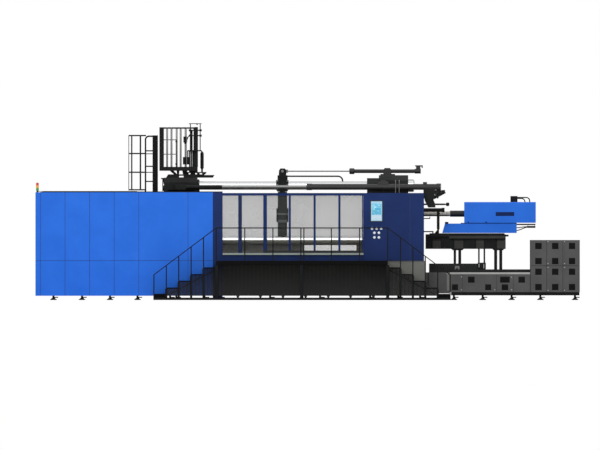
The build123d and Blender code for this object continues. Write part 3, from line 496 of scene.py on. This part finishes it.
def bothSides(piece):
    # the same again on the other long side
    onlyThis(piece)
    mirror = piece.modifiers.new("other side", "MIRROR")
    mirror.use_axis = (False, True, False)
    bpy.ops.object.modifier_apply(modifier=mirror.name)
    bpy.ops.object.mode_set(mode="EDIT")
    bpy.ops.mesh.select_all(action="SELECT")
    bpy.ops.mesh.remove_doubles(threshold=0.00002)
    bpy.ops.mesh.normals_make_consistent(inside=False)
    bpy.ops.object.mode_set(mode="OBJECT")
    return piece


def dress(piece, name, material, body="root"):
    onlyThis(piece)
    piece.name = name
    bpy.ops.object.shade_smooth_by_angle(angle=math.radians(32))
    piece.data.materials.clear()
    piece.data.materials.append(material)
    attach(piece, body)
    return piece


# Slotted guard plates under the walkways and stairs, on flared feet, with flat bars at the posts.
skirts = {"slotHigh": 12, "pitchX": 128, "pitchZ": 32, "thick": 3, "plane": -2618, "low": 134,
          "firstPosts": (-4918, 4560), "going": 397, "treadTops": (400, 618, 829, 1046), "underTread": 40,
          "middle": (-2933, 2575), "middleTop": 1110, "barWide": 72, "barDeep": 20, "barGap": 6, "foot": 60,
          "footWide": 44, "footDeep": 10, "footLap": 10, "flare": 2.6, "middleBars": ((-181, 100),),
          "footPlaces": (-2230, -1510, -787, -64, 662, 1376, 2106)}


def slottedPlate(x0, x1, z0, z1):
    # a grid of faces, each inset and opened, then given its thickness
    columns = max(1, round((x1 - x0) / skirts["pitchX"]))
    rows = max(1, round((z1 - z0) / skirts["pitchZ"]))
    middle = Vector(((x0 + x1) / 2, skirts["plane"], (z0 + z1) / 2)) / 1000
    bpy.ops.object.select_all(action="DESELECT")
    bpy.ops.mesh.primitive_grid_add(x_subdivisions=columns, y_subdivisions=rows, size=1, location=middle,
                                    rotation=(math.radians(90), 0, 0))
    plate = bpy.context.object
    plate.scale = ((x1 - x0) / 1000, (z1 - z0) / 1000, 1)
    bpy.ops.object.transform_apply(location=True, rotation=True, scale=True)
    bpy.ops.object.mode_set(mode="EDIT")
    bpy.ops.mesh.select_mode(type="FACE")
    bpy.ops.mesh.select_all(action="SELECT")
    bpy.ops.mesh.inset(thickness=(skirts["pitchZ"] - skirts["slotHigh"]) / 2000, use_individual=True)
    bpy.ops.mesh.delete(type="FACE")
    bpy.ops.object.mode_set(mode="OBJECT")
    wall = plate.modifiers.new("thickness", "SOLIDIFY")
    wall.thickness = skirts["thick"] / 1000
    wall.offset = 0
    bpy.ops.object.modifier_apply(modifier=wall.name)
    return plate


def skirtBar(x, wide, top):
    near = skirts["plane"] + skirts["barGap"]
    bar = startBlock("bar", (x - wide / 2, near, skirts["foot"]),
                     (x + wide / 2, near + skirts["barDeep"], top))
    return softEdges(bar, 2)


def skirtFoot(x):
    # a small pressed foot, wide where it meets the plate
    wide, deep = skirts["footWide"] / 2, skirts["footDeep"] / 2
    foot = startBlock("foot", (x - wide, skirts["plane"] - deep, skirts["foot"]),
                      (x + wide, skirts["plane"] + deep, skirts["low"] + skirts["footLap"]))
    pickFaces(foot, lambda centre, normal: normal.z > 0.9)
    middle = Vector((x, skirts["plane"], skirts["low"])) / 1000
    bpy.ops.transform.resize(value=(skirts["flare"], 1, 1), center_override=middle)
    bpy.ops.object.mode_set(mode="OBJECT")
    return softEdges(foot, 2)


def skirtPanels():
    plates = [slottedPlate(*skirts["middle"], skirts["low"], skirts["middleTop"])]
    bars = []
    for firstPost, side in zip(skirts["firstPosts"], (1, -1)):
        for i, treadTop in enumerate(skirts["treadTops"]):
            a = firstPost + side * skirts["going"] * (i + 1)
            b = a + side * skirts["going"]
            top = treadTop - skirts["underTread"]
            plates.append(slottedPlate(min(a, b), max(a, b), skirts["low"], top))
            bars.append(skirtBar(a, skirts["barWide"], top))
    for x in skirts["middle"]:
        bars.append(skirtBar(x, skirts["barWide"], skirts["middleTop"]))
    for x, wide in skirts["middleBars"]:
        bars.append(skirtBar(x, wide, skirts["middleTop"]))
    for x in skirts["footPlaces"]:
        plates.append(skirtFoot(x))
    return joinAll(plates), joinAll(bars)


panels, panelBars = skirtPanels()
panels = dress(bothSides(panels), "skirt_panels", deckShadedBlack)
dress(bothSides(panelBars), "skirt_bars", railCoat)
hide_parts("stair_skirts")
print("stage: skirt panels")

# Operator's screen: display, keys in rows under it, and a dark frame round the whole unit, painted shade for
# the recess shadow round the screen.
screen = {"display": (2053, 2360, 2732, 3088), "displayY": (-1913, -1908), "keys": (2058, 2355, 2562, 2706),
          "keyY": (-1918, -1913), "keyColumns": 8, "keyRows": 3, "keyGapX": 4, "keyGapZ": 6,
          "unit": (2031, 2382, 2530, 3156), "shadeFrameWide": 30, "shadeFrameY": (-1906, -1899)}


def displayPane():
    x0, x1, z0, z1 = screen["display"]
    near, far = screen["displayY"]
    pane = startBlock("display", (x0, near, z0), (x1, far, z1))
    return softEdges(pane, 1.5, 2)


def keyRows():
    x0, x1, z0, z1 = screen["keys"]
    stepX = (x1 - x0) / screen["keyColumns"]
    stepZ = (z1 - z0) / screen["keyRows"]
    gapX, gapZ = screen["keyGapX"], screen["keyGapZ"]
    near, far = screen["keyY"]
    key = startBlock("key", (x0 + gapX, near, z0 + gapZ), (x0 + stepX - gapX, far, z0 + stepZ - gapZ))
    softEdges(key, 2, 2)
    moves = [(stepX * i, 0, stepZ * j) for i in range(screen["keyColumns"]) for j in range(screen["keyRows"])]
    return copyTo(key, moves[1:])


def screenShadeFrame():
    # a flat block, inset from the front and opened to a frame; its black is painted shade round the screen
    x0, x1, z0, z1 = screen["unit"]
    wide = screen["shadeFrameWide"]
    near, far = screen["shadeFrameY"]
    frameBlock = startBlock("shade frame", (x0 - wide, near, z0 - wide), (x1 + wide, far, z1 + wide))
    pickFaces(frameBlock, lambda centre, normal: abs(normal.y) > 0.9)
    bpy.ops.mesh.inset(thickness=wide / 1000, use_individual=True)
    bpy.ops.mesh.bridge_edge_loops()
    bpy.ops.object.mode_set(mode="OBJECT")
    return softEdges(frameBlock, 2, 2)


dress(displayPane(), "display_pane", litDisplay)
dress(keyRows(), "screen_keys", paleKeys)
dress(screenShadeFrame(), "screen_shade_frame", blackRubberAndShade)
print("stage: operator's screen")

# Louvres: bent blades in every vent recess, 20 mm apart, before a thin plate; each group is columns and rows.
louvres = {"pitch": 20, "thick": 3, "deep": 11, "drop": 16, "sunk": 13, "foot": 4, "gap": 1}
ventRecesses = {
    "base_louvres": {"face": 1100, "coat": blackCoat, "body": "root", "groups": (
        (((5133, 5344), (6160, 6467), (6746, 6957)), ((554, 749),)),
        (((4621, 4813), (5683, 5875), (6211, 6419)), ((314, 502),)))},
    "switch_louvres": {"face": 1100, "coat": blackCoat, "body": "root", "groups": (
        (((7283, 7491), (7821, 8026), (8362, 8563)),
         ((314, 515), (803, 1005), (1146, 1347), (1629, 1830))),)},
    "housing_louvres": {"face": 600, "coat": navyCoat, "body": "injection_carriage", "groups": (
        (((6019, 6611),), ((2688, 2816),)),)},
}


def louvreSet(x0, x1, z0, z1, face):
    # one blade, its front edge pulled down, copied up the recess
    back = -face + louvres["sunk"]
    low = z0 + louvres["drop"] + louvres["foot"]
    gap = louvres["gap"]
    blade = startBlock("blade", (x0 + gap, back - louvres["deep"], low),
                       (x1 - gap, back, low + louvres["thick"]))
    pickFaces(blade, lambda centre, normal: normal.y < -0.9)
    bpy.ops.transform.translate(value=(0, 0, -louvres["drop"] / 1000))
    bpy.ops.object.mode_set(mode="OBJECT")
    count = int((z1 - z0 - louvres["drop"]) / louvres["pitch"])
    blades = copyTo(blade, [(0, 0, louvres["pitch"] * i) for i in range(1, count)])
    backing = startBlock("backing", (x0 + gap / 2, back - gap, z0 + gap / 2),
                         (x1 - gap / 2, back + gap, z1 - gap / 2))
    return joinAll([blades, softEdges(backing, gap / 2)])


for name, vents in ventRecesses.items():
    sets = [louvreSet(*column, *row, vents["face"])
            for columns, rows in vents["groups"] for column in columns for row in rows]
    dress(bothSides(joinAll(sets)), name, vents["coat"], vents["body"])
print("stage: louvres")


def plates(blocks, edgeMm=3):
    # plates between corners in millimetres, their long edges softened
    return joinAll([softEdges(startBlock("plate", (x0, y0, z0), (x1, y1, z1)), edgeMm)
                    for x0, x1, y0, y1, z0, z1 in blocks])


def bentPipe(points, diameterMm):
    # a rigid pipe on a smooth line led by five places in millimetres, its ends closed
    bpy.ops.object.select_all(action="DESELECT")
    bpy.ops.curve.primitive_nurbs_path_add()
    pipe = bpy.context.object
    for node, place in zip(pipe.data.splines[0].points, points):
        node.co = (*(Vector(place) / 1000), 1)
    pipe.data.bevel_depth = diameterMm / 2000
    pipe.data.bevel_resolution = 2
    pipe.data.use_fill_caps = True
    bpy.ops.object.convert(target="MESH")
    return bpy.context.object


# Bolt head: sizes as shares of its width.
boltHead = {"sides": 12, "washer": 0.6, "washerHigh": 0.24, "inset": 0.12, "high": 0.5}


def hexBolt(place, facing, widthMm):
    # washer face, then the head drawn out of it, on a surface that faces front or right
    turns = {"front": (90, 0, 0), "right": (0, 90, 0)}[facing]
    outward = Vector({"front": (0, -1, 0), "right": (1, 0, 0)}[facing])
    bpy.ops.object.select_all(action="DESELECT")
    bpy.ops.mesh.primitive_cylinder_add(vertices=boltHead["sides"], location=Vector(place) / 1000,
                                        radius=widthMm * boltHead["washer"] / 1000,
                                        depth=widthMm * boltHead["washerHigh"] / 1000,
                                        rotation=[math.radians(a) for a in turns])
    bpy.ops.object.transform_apply(location=True, rotation=True, scale=True)
    bolt = bpy.context.object
    pickFaces(bolt, lambda centre, normal: normal.dot(outward) > 0.9)
    bpy.ops.mesh.inset(thickness=widthMm * boltHead["inset"] / 1000)
    bpy.ops.mesh.extrude_region_move(
        TRANSFORM_OT_translate={"value": outward * widthMm * boltHead["high"] / 1000})
    bpy.ops.object.mode_set(mode="OBJECT")
    return bolt


def boltSet(places, facing, widthMm):
    first = hexBolt(places[0], facing, widthMm)
    return copyTo(first, [Vector(place) - Vector(places[0]) for place in places[1:]])


# Frames under the walkways, redrawn with a slender stair stringer and foot plates.
frames = {"ends": (-4936, 4578), "edges": ((-1972, 60), (-2660, 36)), "legs": (-2955, -243, 2513),
          "legWide": 92, "legTop": 1110, "railHigh": 76, "railWide": 60, "plateLap": 20, "plateHigh": 10,
          "stringer": ((-4521, 150), (-2933, 990), 30), "stringerY": (-1912, -1902), "middleX": -179}


def stairStringer():
    # a flat bar, its far end lifted to the top of the flight
    (x0, z0), (x1, z1), deep = frames["stringer"]
    y0, y1 = frames["stringerY"]
    bar = startBlock("stringer", (x0, y0, z0 - deep), (x1, y1, z0))
    pickFaces(bar, lambda centre, normal: normal.x > 0.9)
    bpy.ops.transform.translate(value=(0, 0, (z1 - z0) / 1000))
    bpy.ops.object.mode_set(mode="OBJECT")
    return softEdges(bar, 2)


def walkwayFrames():
    parts = []
    for y0, legDeep in frames["edges"]:
        x0, x1 = frames["ends"]
        parts.append((x0, x1, y0, y0 + frames["railWide"], 0, frames["railHigh"]))
        for x in frames["legs"]:
            far, low, lap = x + frames["legWide"], frames["railHigh"], frames["plateLap"]
            parts.append((x, far, y0, y0 + legDeep, low, frames["legTop"]))
            parts.append((x - lap, far + lap, y0, y0 + legDeep, low, low + frames["plateHigh"]))
    whole = plates(parts, 4)
    left, right = stairStringer(), stairStringer()
    onlyThis(right)
    bpy.ops.transform.mirror(constraint_axis=(True, False, False),
                             center_override=(frames["middleX"] / 1000, 0, 0))
    bpy.ops.object.transform_apply(location=True, rotation=True, scale=True)
    return bothSides(joinAll([whole, left, right]))


frameBars = dress(walkwayFrames(), "walkway_frame_bars", railCoat)
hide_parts("walkway_frames")

# Rubber in the panel joints of the blue housing, and beads between the window frames.
joints = {"firstX": -8550, "pitch": 787, "count": 7, "skip": 5, "wide": 15, "y": (-1846, -1836),
          "levelZ": 1261, "ends": (-8708, -3036), "low": 136, "high": 3440}


def panelJoints():
    near, far = joints["y"]
    half = joints["wide"] / 2
    strips = []
    for i in range(joints["count"]):
        x = joints["firstX"] + i * joints["pitch"]
        if i != joints["skip"]:
            strips.append((x - half, x + half, near, far, joints["low"], joints["high"]))
    strips.append((*joints["ends"], near, far, joints["levelZ"] - half, joints["levelZ"] + half))
    return bothSides(plates(strips, 2))


deepBlue = moulding("dark blue joint rubber", {"dark": "#123C86", "light": "#16438F", "rough": 0.6})
dress(panelJoints(), "housing_joints", deepBlue)
brush = {"x": (-1414, 1776), "y": (1905, 1910), "z": (1514, 1584)}
for sign, body in ((-1, "front_door"), (1, "back_door")):
    near, far = sorted(sign * y for y in brush["y"])
    dress(plates([(*brush["x"], near, far, *brush["z"])], 2), body + "_brush_strip", blackRubberAndShade, body)
# A rubber bead inside the window frame, and a dark strip at the navy panel's left edge that is painted shade.
sealAndShadeBlocks = [(-2176, -2144, -1826, -1812, 1440, 3341), (1782, 1789, -1898, -1862, 1512, 3404)]
dress(bothSides(plates(sealAndShadeBlocks, 2)), "window_seals_and_edge_shade", blackRubberAndShade)
print("stage: frames and joints")

# Service platform: pale slats inside the far guard.
slats = {"places": (-4496, -4355, -4189, -4061, -3904), "wide": 60, "y": 896, "thick": 3, "low": 4262,
         "high": 5480, "lip": 3, "fold": 9}


def guardSlat(x):
    # a flat strip with both long edges folded back
    half = slats["wide"] / 2
    slat = startBlock("slat", (x - half, slats["y"], slats["low"]),
                      (x + half, slats["y"] + slats["thick"], slats["high"]))
    pickFaces(slat, lambda centre, normal: abs(normal.x) > 0.9)
    bpy.ops.mesh.extrude_region_shrink_fatten(TRANSFORM_OT_shrink_fatten={"value": slats["lip"] / 1000})
    bpy.ops.object.mode_set(mode="OBJECT")
    pickFaces(slat, lambda centre, normal: normal.y > 0.9 and abs(centre.x - x / 1000) > half / 1000)
    bpy.ops.mesh.extrude_region_move(TRANSFORM_OT_translate={"value": (0, slats["fold"] / 1000, 0)})
    bpy.ops.object.mode_set(mode="OBJECT")
    return slat


firstSlat, *otherSlats = slats["places"]
guardSlats = copyTo(guardSlat(firstSlat), [(x - firstSlat, 0, 0) for x in otherSlats])
dress(guardSlats, "guard_slats", paleCoatAndHighlight, "clamp_carriage")
# Ladder cage: one upright strap and the flat stays that hold it.
cage = {"strap": (-5733, -5711, -34, 34, 3500, 5262), "stays": ((4664, 4692), (4072, 4100)),
        "stayX": (-5180, -4962), "stayY": ((-252, -240), (240, 252))}
stayBlocks = [(*cage["stayX"], *y, *z) for z in cage["stays"] for y in cage["stayY"]]
dress(plates([cage["strap"], *stayBlocks], 6), "cage_straps", blackCoat)
# Angle plates over the upper edge of the moving platen.
coverBlocks = [(-4650, -4590, -900, 900, 3484, 3880), (-4692, -4590, -900, 900, 3866, 3906)]
dress(plates(coverBlocks, 4), "platen_covers", castPaint, "clamp_carriage")
# Upright unit: cover on its column, ears on its plates, and two guide rods with collars.
unitBlocks = [(-3652, -3508, -124, -112, 4250, 5530)]
unitBlocks += [(x0, x1, -204, -180, z - 34, z + 34) for x0, x1 in ((-3802, -3716), (-3462, -3386))
               for z in (5430, 5260)]
unitBlocks += [(-3556, -3516, -196, -150, 5600, 5636), (-3802, -3392, -200, 200, 5632, 5655)]
dress(plates(unitBlocks, 4), "unit_plates", castPaint, "clamp_carriage")

# Round rods: the end step is drawn in by a share of the width.
rodEnds = {"sides": 20, "inset": 0.15, "step": 20}


def steppedRod(low, high, wide):
    # a rod along X or Z between two places in millimetres, each end stepped in
    low, high = Vector(low) / 1000, Vector(high) / 1000
    along = (high - low).normalized()
    bpy.ops.object.select_all(action="DESELECT")
    bpy.ops.mesh.primitive_cylinder_add(vertices=rodEnds["sides"], radius=wide / 2000,
                                        depth=(high - low).length, location=(low + high) / 2,
                                        rotation=along.to_track_quat("Z", "Y").to_euler())
    bpy.ops.object.transform_apply(location=True, rotation=True, scale=True)
    rod = bpy.context.object
    pickFaces(rod, lambda centre, normal: abs(normal.dot(along)) > 0.9)
    bpy.ops.mesh.inset(thickness=wide * rodEnds["inset"] / 1000, use_individual=True)
    bpy.ops.mesh.extrude_region_shrink_fatten(TRANSFORM_OT_shrink_fatten={"value": rodEnds["step"] / 1000})
    bpy.ops.object.mode_set(mode="OBJECT")
    return rod


unitRods = [steppedRod((x, -100, 4270), (x, -100, 4750), 30) for x in (-3748, -3690)]
dress(joinAll(unitRods), "unit_guide_rods", paleCoatAndHighlight, "clamp_carriage")
print("stage: platform guard and upright unit")

# Injection end: rib plates and rail strips on the slide beam, then a pale top-edge strip that is painted
# highlight, joints and sheets of the cabinets.
beamRibs = ((3997, 4262), (4691, 4986), (5389, 5645), (6058, 6335))
cabinetJoints = [(x - 5, x + 5, -1102, -1099, 252, 822) for x in (4553, 4950, 6046, 6583)]
cabinetJoints += [(x - 6, x + 6, -1102, -1099, 252, 1918) for x in (7654, 8166)]
cabinetJoints += [(3843, 3885, -1102, -1099, 450, 880), (7112, 7140, -1102, -1099, 252, 1918),
                  (8686, 8708, -1102, -1099, 252, 1918), (7142, 8684, -1102, -1099, 1098, 1108)]
sidePlates = {
    "beam_rib_plates": {"coat": ribPaint, "edge": 4,
                        "blocks": [(*x, -548, -540, 1644, 1900) for x in beamRibs]},
    "beam_rail_strips": {"coat": ribPaint, "edge": 3, "blocks": [(4525, 6335, -608, -600, 1968, 2046)]},
    # Painted highlight: a pale strip along the base cabinet's top edge.
    "cabinet_edge_highlight": {"coat": paleCoatAndHighlight, "edge": 2, "blocks": [(4550, 7117, -1106, -1100, 826, 884)]},
    "cabinet_strips": {"coat": frameCoat, "edge": 2, "blocks": [(4456, 4536, -1104, -1100, 300, 826)]},
    "cabinet_joints": {"coat": ribPaint, "edge": 1, "blocks": cabinetJoints},
    "cabinet_aprons": {"coat": greyCoat, "edge": 1, "blocks": [(4157, 4540, -1098, -1092, 212, 254),
                                                               (3792, 4157, -1098, -1092, 144, 254)]},
    "cabinet_tabs": {"coat": paleCoatAndHighlight, "edge": 2, "blocks": [(4445, 4505, -1108, -1099, 832, 872)]},
}
for name, look in sidePlates.items():
    dress(bothSides(plates(look["blocks"], look["edge"])), name, look["coat"])

# Bolting plate on the beam base, its eye filled by a dark plug that is painted shade, and the feed coupling
# further along.
eyePlate = {"low": (4690, -716, 905), "high": (4878, -700, 1088), "eye": 56, "narrow": 0.72, "sunk": 12}


def boltingPlate():
    # its upper edge drawn in, the eye inset and sunk
    plate = startBlock("bolting plate", eyePlate["low"], eyePlate["high"])
    middle = (Vector(eyePlate["low"]) + Vector(eyePlate["high"])) / 2000
    pickFaces(plate, lambda centre, normal: normal.z > 0.9)
    bpy.ops.transform.resize(value=(eyePlate["narrow"], 1, 1), center_override=middle)
    bpy.ops.object.mode_set(mode="OBJECT")
    pickFaces(plate, lambda centre, normal: normal.y < -0.9)
    bpy.ops.mesh.inset(thickness=eyePlate["eye"] / 1000)
    bpy.ops.mesh.extrude_region_move(TRANSFORM_OT_translate={"value": (0, eyePlate["sunk"] / 1000, 0)})
    bpy.ops.object.mode_set(mode="OBJECT")
    return softEdges(plate, 2)


dress(bothSides(boltingPlate()), "bolting_plates", groundSteel)
# Painted shade: a dark plug in the sunk eye stands for the shade in the hole.
dress(bothSides(plates([(4750, 4800, -708, -703, 980, 1030)], 1)), "plate_eye_shade", blackRubberAndShade)
couplingBlocks = [(5440, 5705, -730, -700, 990, 1196), (5470, 5500, -742, -726, 1040, 1160),
                  (5625, 5655, -742, -726, 1010, 1150)]
dress(bothSides(plates(couplingBlocks[:1], 8)), "coupling_boxes", castPaint)
dress(bothSides(plates(couplingBlocks[1:], 6)), "coupling_pins", milledAluminium)

# Quarter-turn latches on the cabinet doors.
latches = {"size": 30, "y": -1102, "places": (
    (4925, 742), (4925, 326), (5990, 326), (6528, 735), (6528, 326), (7694, 1165), (7694, 1040), (8220, 1165),
    (8220, 1040), (7694, 1868), (8220, 1868), (7694, 310), (8220, 310))}
latchPlaces = [(x, latches["y"], z) for x, z in latches["places"]]
dress(bothSides(boltSet(latchPlaces, "front", latches["size"])), "door_latches", milledAluminium)

# Carriage tail: deck plate, hung cable carrier and its two pipes, in place of the plain deck.
tail = {"base": (4900, 6691, -520, 520, 2448, 2470), "plate": (6660, 7290, -520, 520, 2396, 2440),
        "carrier": (7021, 7290, -420, -260, 2307, 2370),
        "hangers": ((7040, 7054, -400, -280, 2366, 2400), (7262, 7276, -400, -280, 2366, 2400))}
tailPlates = plates([tail["base"], tail["plate"], tail["carrier"], *tail["hangers"]], 3)
dress(tailPlates, "carriage_tail", blackCoat, "injection_carriage")
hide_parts("carriage_deck")
pipeRuns = ((-340, ((6670, 2309), (6760, 2316), (6860, 2332), (6960, 2346), (7040, 2346))),
            (-320, ((6670, 2224), (6760, 2226), (6850, 2262), (6940, 2328), (7040, 2330))))
carrierPipes = [bentPipe([(x, y, z) for x, z in run], 30) for y, run in pipeRuns]
dress(joinAll(carrierPipes), "carrier_pipes", blackRubberAndShade, "injection_carriage")
lugBlocks = [(x, x + 44, -612, -600, 2476, 2510) for x in (5120, 5693)]
dress(bothSides(plates(lugBlocks, 6)), "housing_lugs", navyCoat, "injection_carriage")
print("stage: injection end")

# Round the nozzle: sleeve on the shut-off rod, cheeks on the post, a feed bracket, and the pump head above.
nozzleBlocks = [(4134, 4150, -440, -400, 2260, 2830), (4208, 4224, -440, -400, 2260, 2830),
                (3250, 3925, -438, -414, 2592, 2624), (3898, 3925, -438, -414, 2612, 2668)]
nozzleParts = [plates(nozzleBlocks, 4), steppedRod((3300, -420, 3062), (4400, -420, 3062), 54)]
pumpBlocks = [(4056, 4236, -1652, -1508, 3392, 3520), (4100, 4262, -1640, -1520, 3440, 3510)]
nozzleParts += [plates(pumpBlocks, 14), steppedRod((4200, -1580, 3478), (4380, -1580, 3500), 50)]
nozzleParts.append(copyTo(hexBolt((4080, -1654, 3420), "front", 26), [(130, 0, 0), (0, 0, 76), (130, 0, 76)]))
dress(bothSides(joinAll(nozzleParts)), "nozzle_fittings", castPaint)
dress(plates([(3260, 4540, -84, 84, 2679, 2716)], 8), "barrel_tray", blackCoat, "injection_carriage")
coverStops = bothSides(plates([(4404, 4502, -604, -540, 2440, 2498)], 6))
dress(coverStops, "cover_stops", blackCoat, "injection_carriage")

# Low ribs over the joints of the roof sheets, and the faint joint of the navy end panel, drawn as a lighter
# strip that is a painted highlight on its groove.
roof = {"ribs": [joints["firstX"] + joints["pitch"] * i for i in range(4)], "wide": 44, "low": 3470,
        "top": 3486, "half": 1760, "ends": (-8620, -5450), "places": (-880, 0, 880)}
half = roof["wide"] / 2
ribStrips = [(x - half, x + half, -roof["half"], roof["half"], roof["low"], roof["top"])
             for x in roof["ribs"]]
ribStrips += [(*roof["ends"], y - half, y + half, roof["low"], roof["top"]) for y in roof["places"]]
dress(plates(ribStrips, 5), "roof_ribs", blackCoat)
# Painted highlight: the lighter strip stands for light caught in the navy panel's groove.
jointHighlightBlue = moulding("blue-grey rubber as painted highlight", {"dark": "#293963", "light": "#2F406B", "rough": 0.6})
dress(bothSides(plates([(3273, 3281, -1897, -1892, 1262, 3420)], 1)), "panel_joint_highlight", jointHighlightBlue)
print("stage: nozzle end and roof")

# Bolts: rings on cylinder heads, platen nuts and platen collars, and rows on the crosshead shoes.
barLevels = (1917, 3660)
rings = {
    "traverse_head_bolts": {"x": 4262, "y": -1580, "levels": (3620,), "radius": 82, "count": 8, "size": 24,
                            "body": "root"},
    "nut_bolts": {"x": 3389, "y": -1050, "levels": barLevels, "radius": 168, "count": 12, "size": 32,
                  "body": "root"},
    "collar_bolts": {"x": -3471, "y": -1050, "levels": barLevels, "radius": 170, "count": 10, "size": 30,
                     "body": "clamp_carriage"}}
shoes = {"x": (-960, -650), "y": -1262, "z": (3560, 3690, 3810), "size": 36}


def boltRing(ring, z):
    places = []
    for i in range(ring["count"]):
        angle = 2 * math.pi * (i + 0.5) / ring["count"]
        out, up = ring["radius"] * math.cos(angle), ring["radius"] * math.sin(angle)
        places.append((ring["x"], ring["y"] + out, z + up))
    return boltSet(places, "right", ring["size"])


for name, ring in rings.items():
    ringBolts = joinAll([boltRing(ring, z) for z in ring["levels"]])
    dress(bothSides(ringBolts), name, groundSteel, ring["body"])
shoePlaces = [(x, shoes["y"], z) for x in shoes["x"] for z in shoes["z"]]
dress(bothSides(boltSet(shoePlaces, "front", shoes["size"])), "shoe_bolts", groundSteel, "centre_carriage")
print("stage: bolts")

# Studio: the camera, clear sheets and shiny metal see plain white; painted surfaces get soft light.
studioLight = {"diffuse": 0.62, "seen": 1.0,
               "softboxes": {"front": ((-2, -24, 14), (60, 0, 0), 18.0, 2600.0),
                             "top": ((0, 2, 20), (0, 0, 0), 20.0, 900.0)}}
world = bpy.data.worlds.new("studio")
bpy.context.scene.world = world
world.use_nodes = True
studio = world.node_tree
studio.nodes.clear()
rays = addNode(studio, "ShaderNodeLightPath")
seen = rays.outputs["Is Camera Ray"]
for ray in ("Is Glossy Ray", "Is Transmission Ray"):
    either = addNode(studio, "ShaderNodeMath", {0: seen, 1: rays.outputs[ray]}, operation="MAXIMUM")
    seen = either.outputs["Value"]
strength = addNode(studio, "ShaderNodeMapRange", {
    "Value": seen, "To Min": studioLight["diffuse"], "To Max": studioLight["seen"]})
sky = addNode(studio, "ShaderNodeBackground", {"Color": (1, 1, 1, 1), "Strength": strength.outputs["Result"]})
addNode(studio, "ShaderNodeOutputWorld", {"Surface": sky.outputs["Background"]})

for name, (place, turn, size, power) in studioLight["softboxes"].items():
    bpy.ops.object.light_add(type="AREA", location=place, rotation=[math.radians(a) for a in turn])
    lamp = bpy.context.object
    lamp.name = name + " softbox"
    lamp.data.size = size
    lamp.data.energy = power

bpy.ops.object.select_all(action="DESELECT")
bpy.ops.mesh.primitive_plane_add(size=400, location=(0, 0, -0.002))
floor = bpy.context.object
floor.name = "studio floor"
floorLook, floorTree, floorPlace = startMaterial("white studio floor")
floorGrain = addNode(floorTree, "ShaderNodeTexNoise", {"Vector": floorPlace, "Scale": 0.5})
floorColour = addNode(floorTree, "ShaderNodeValToRGB", {"Fac": floorGrain.outputs["Fac"]},
                      [(0.3, "#F4F4F4"), (0.7, "#F8F8F8")])
floorShader = addNode(floorTree, "ShaderNodeBsdfPrincipled", {
    "Base Color": floorColour.outputs["Color"], "Roughness": 0.9})
addNode(floorTree, "ShaderNodeOutputMaterial", {"Surface": floorShader.outputs["BSDF"]})
floor.data.materials.append(floorLook)
bpy.context.scene.view_settings.view_transform = "Standard"
print("stage: lights and floor")
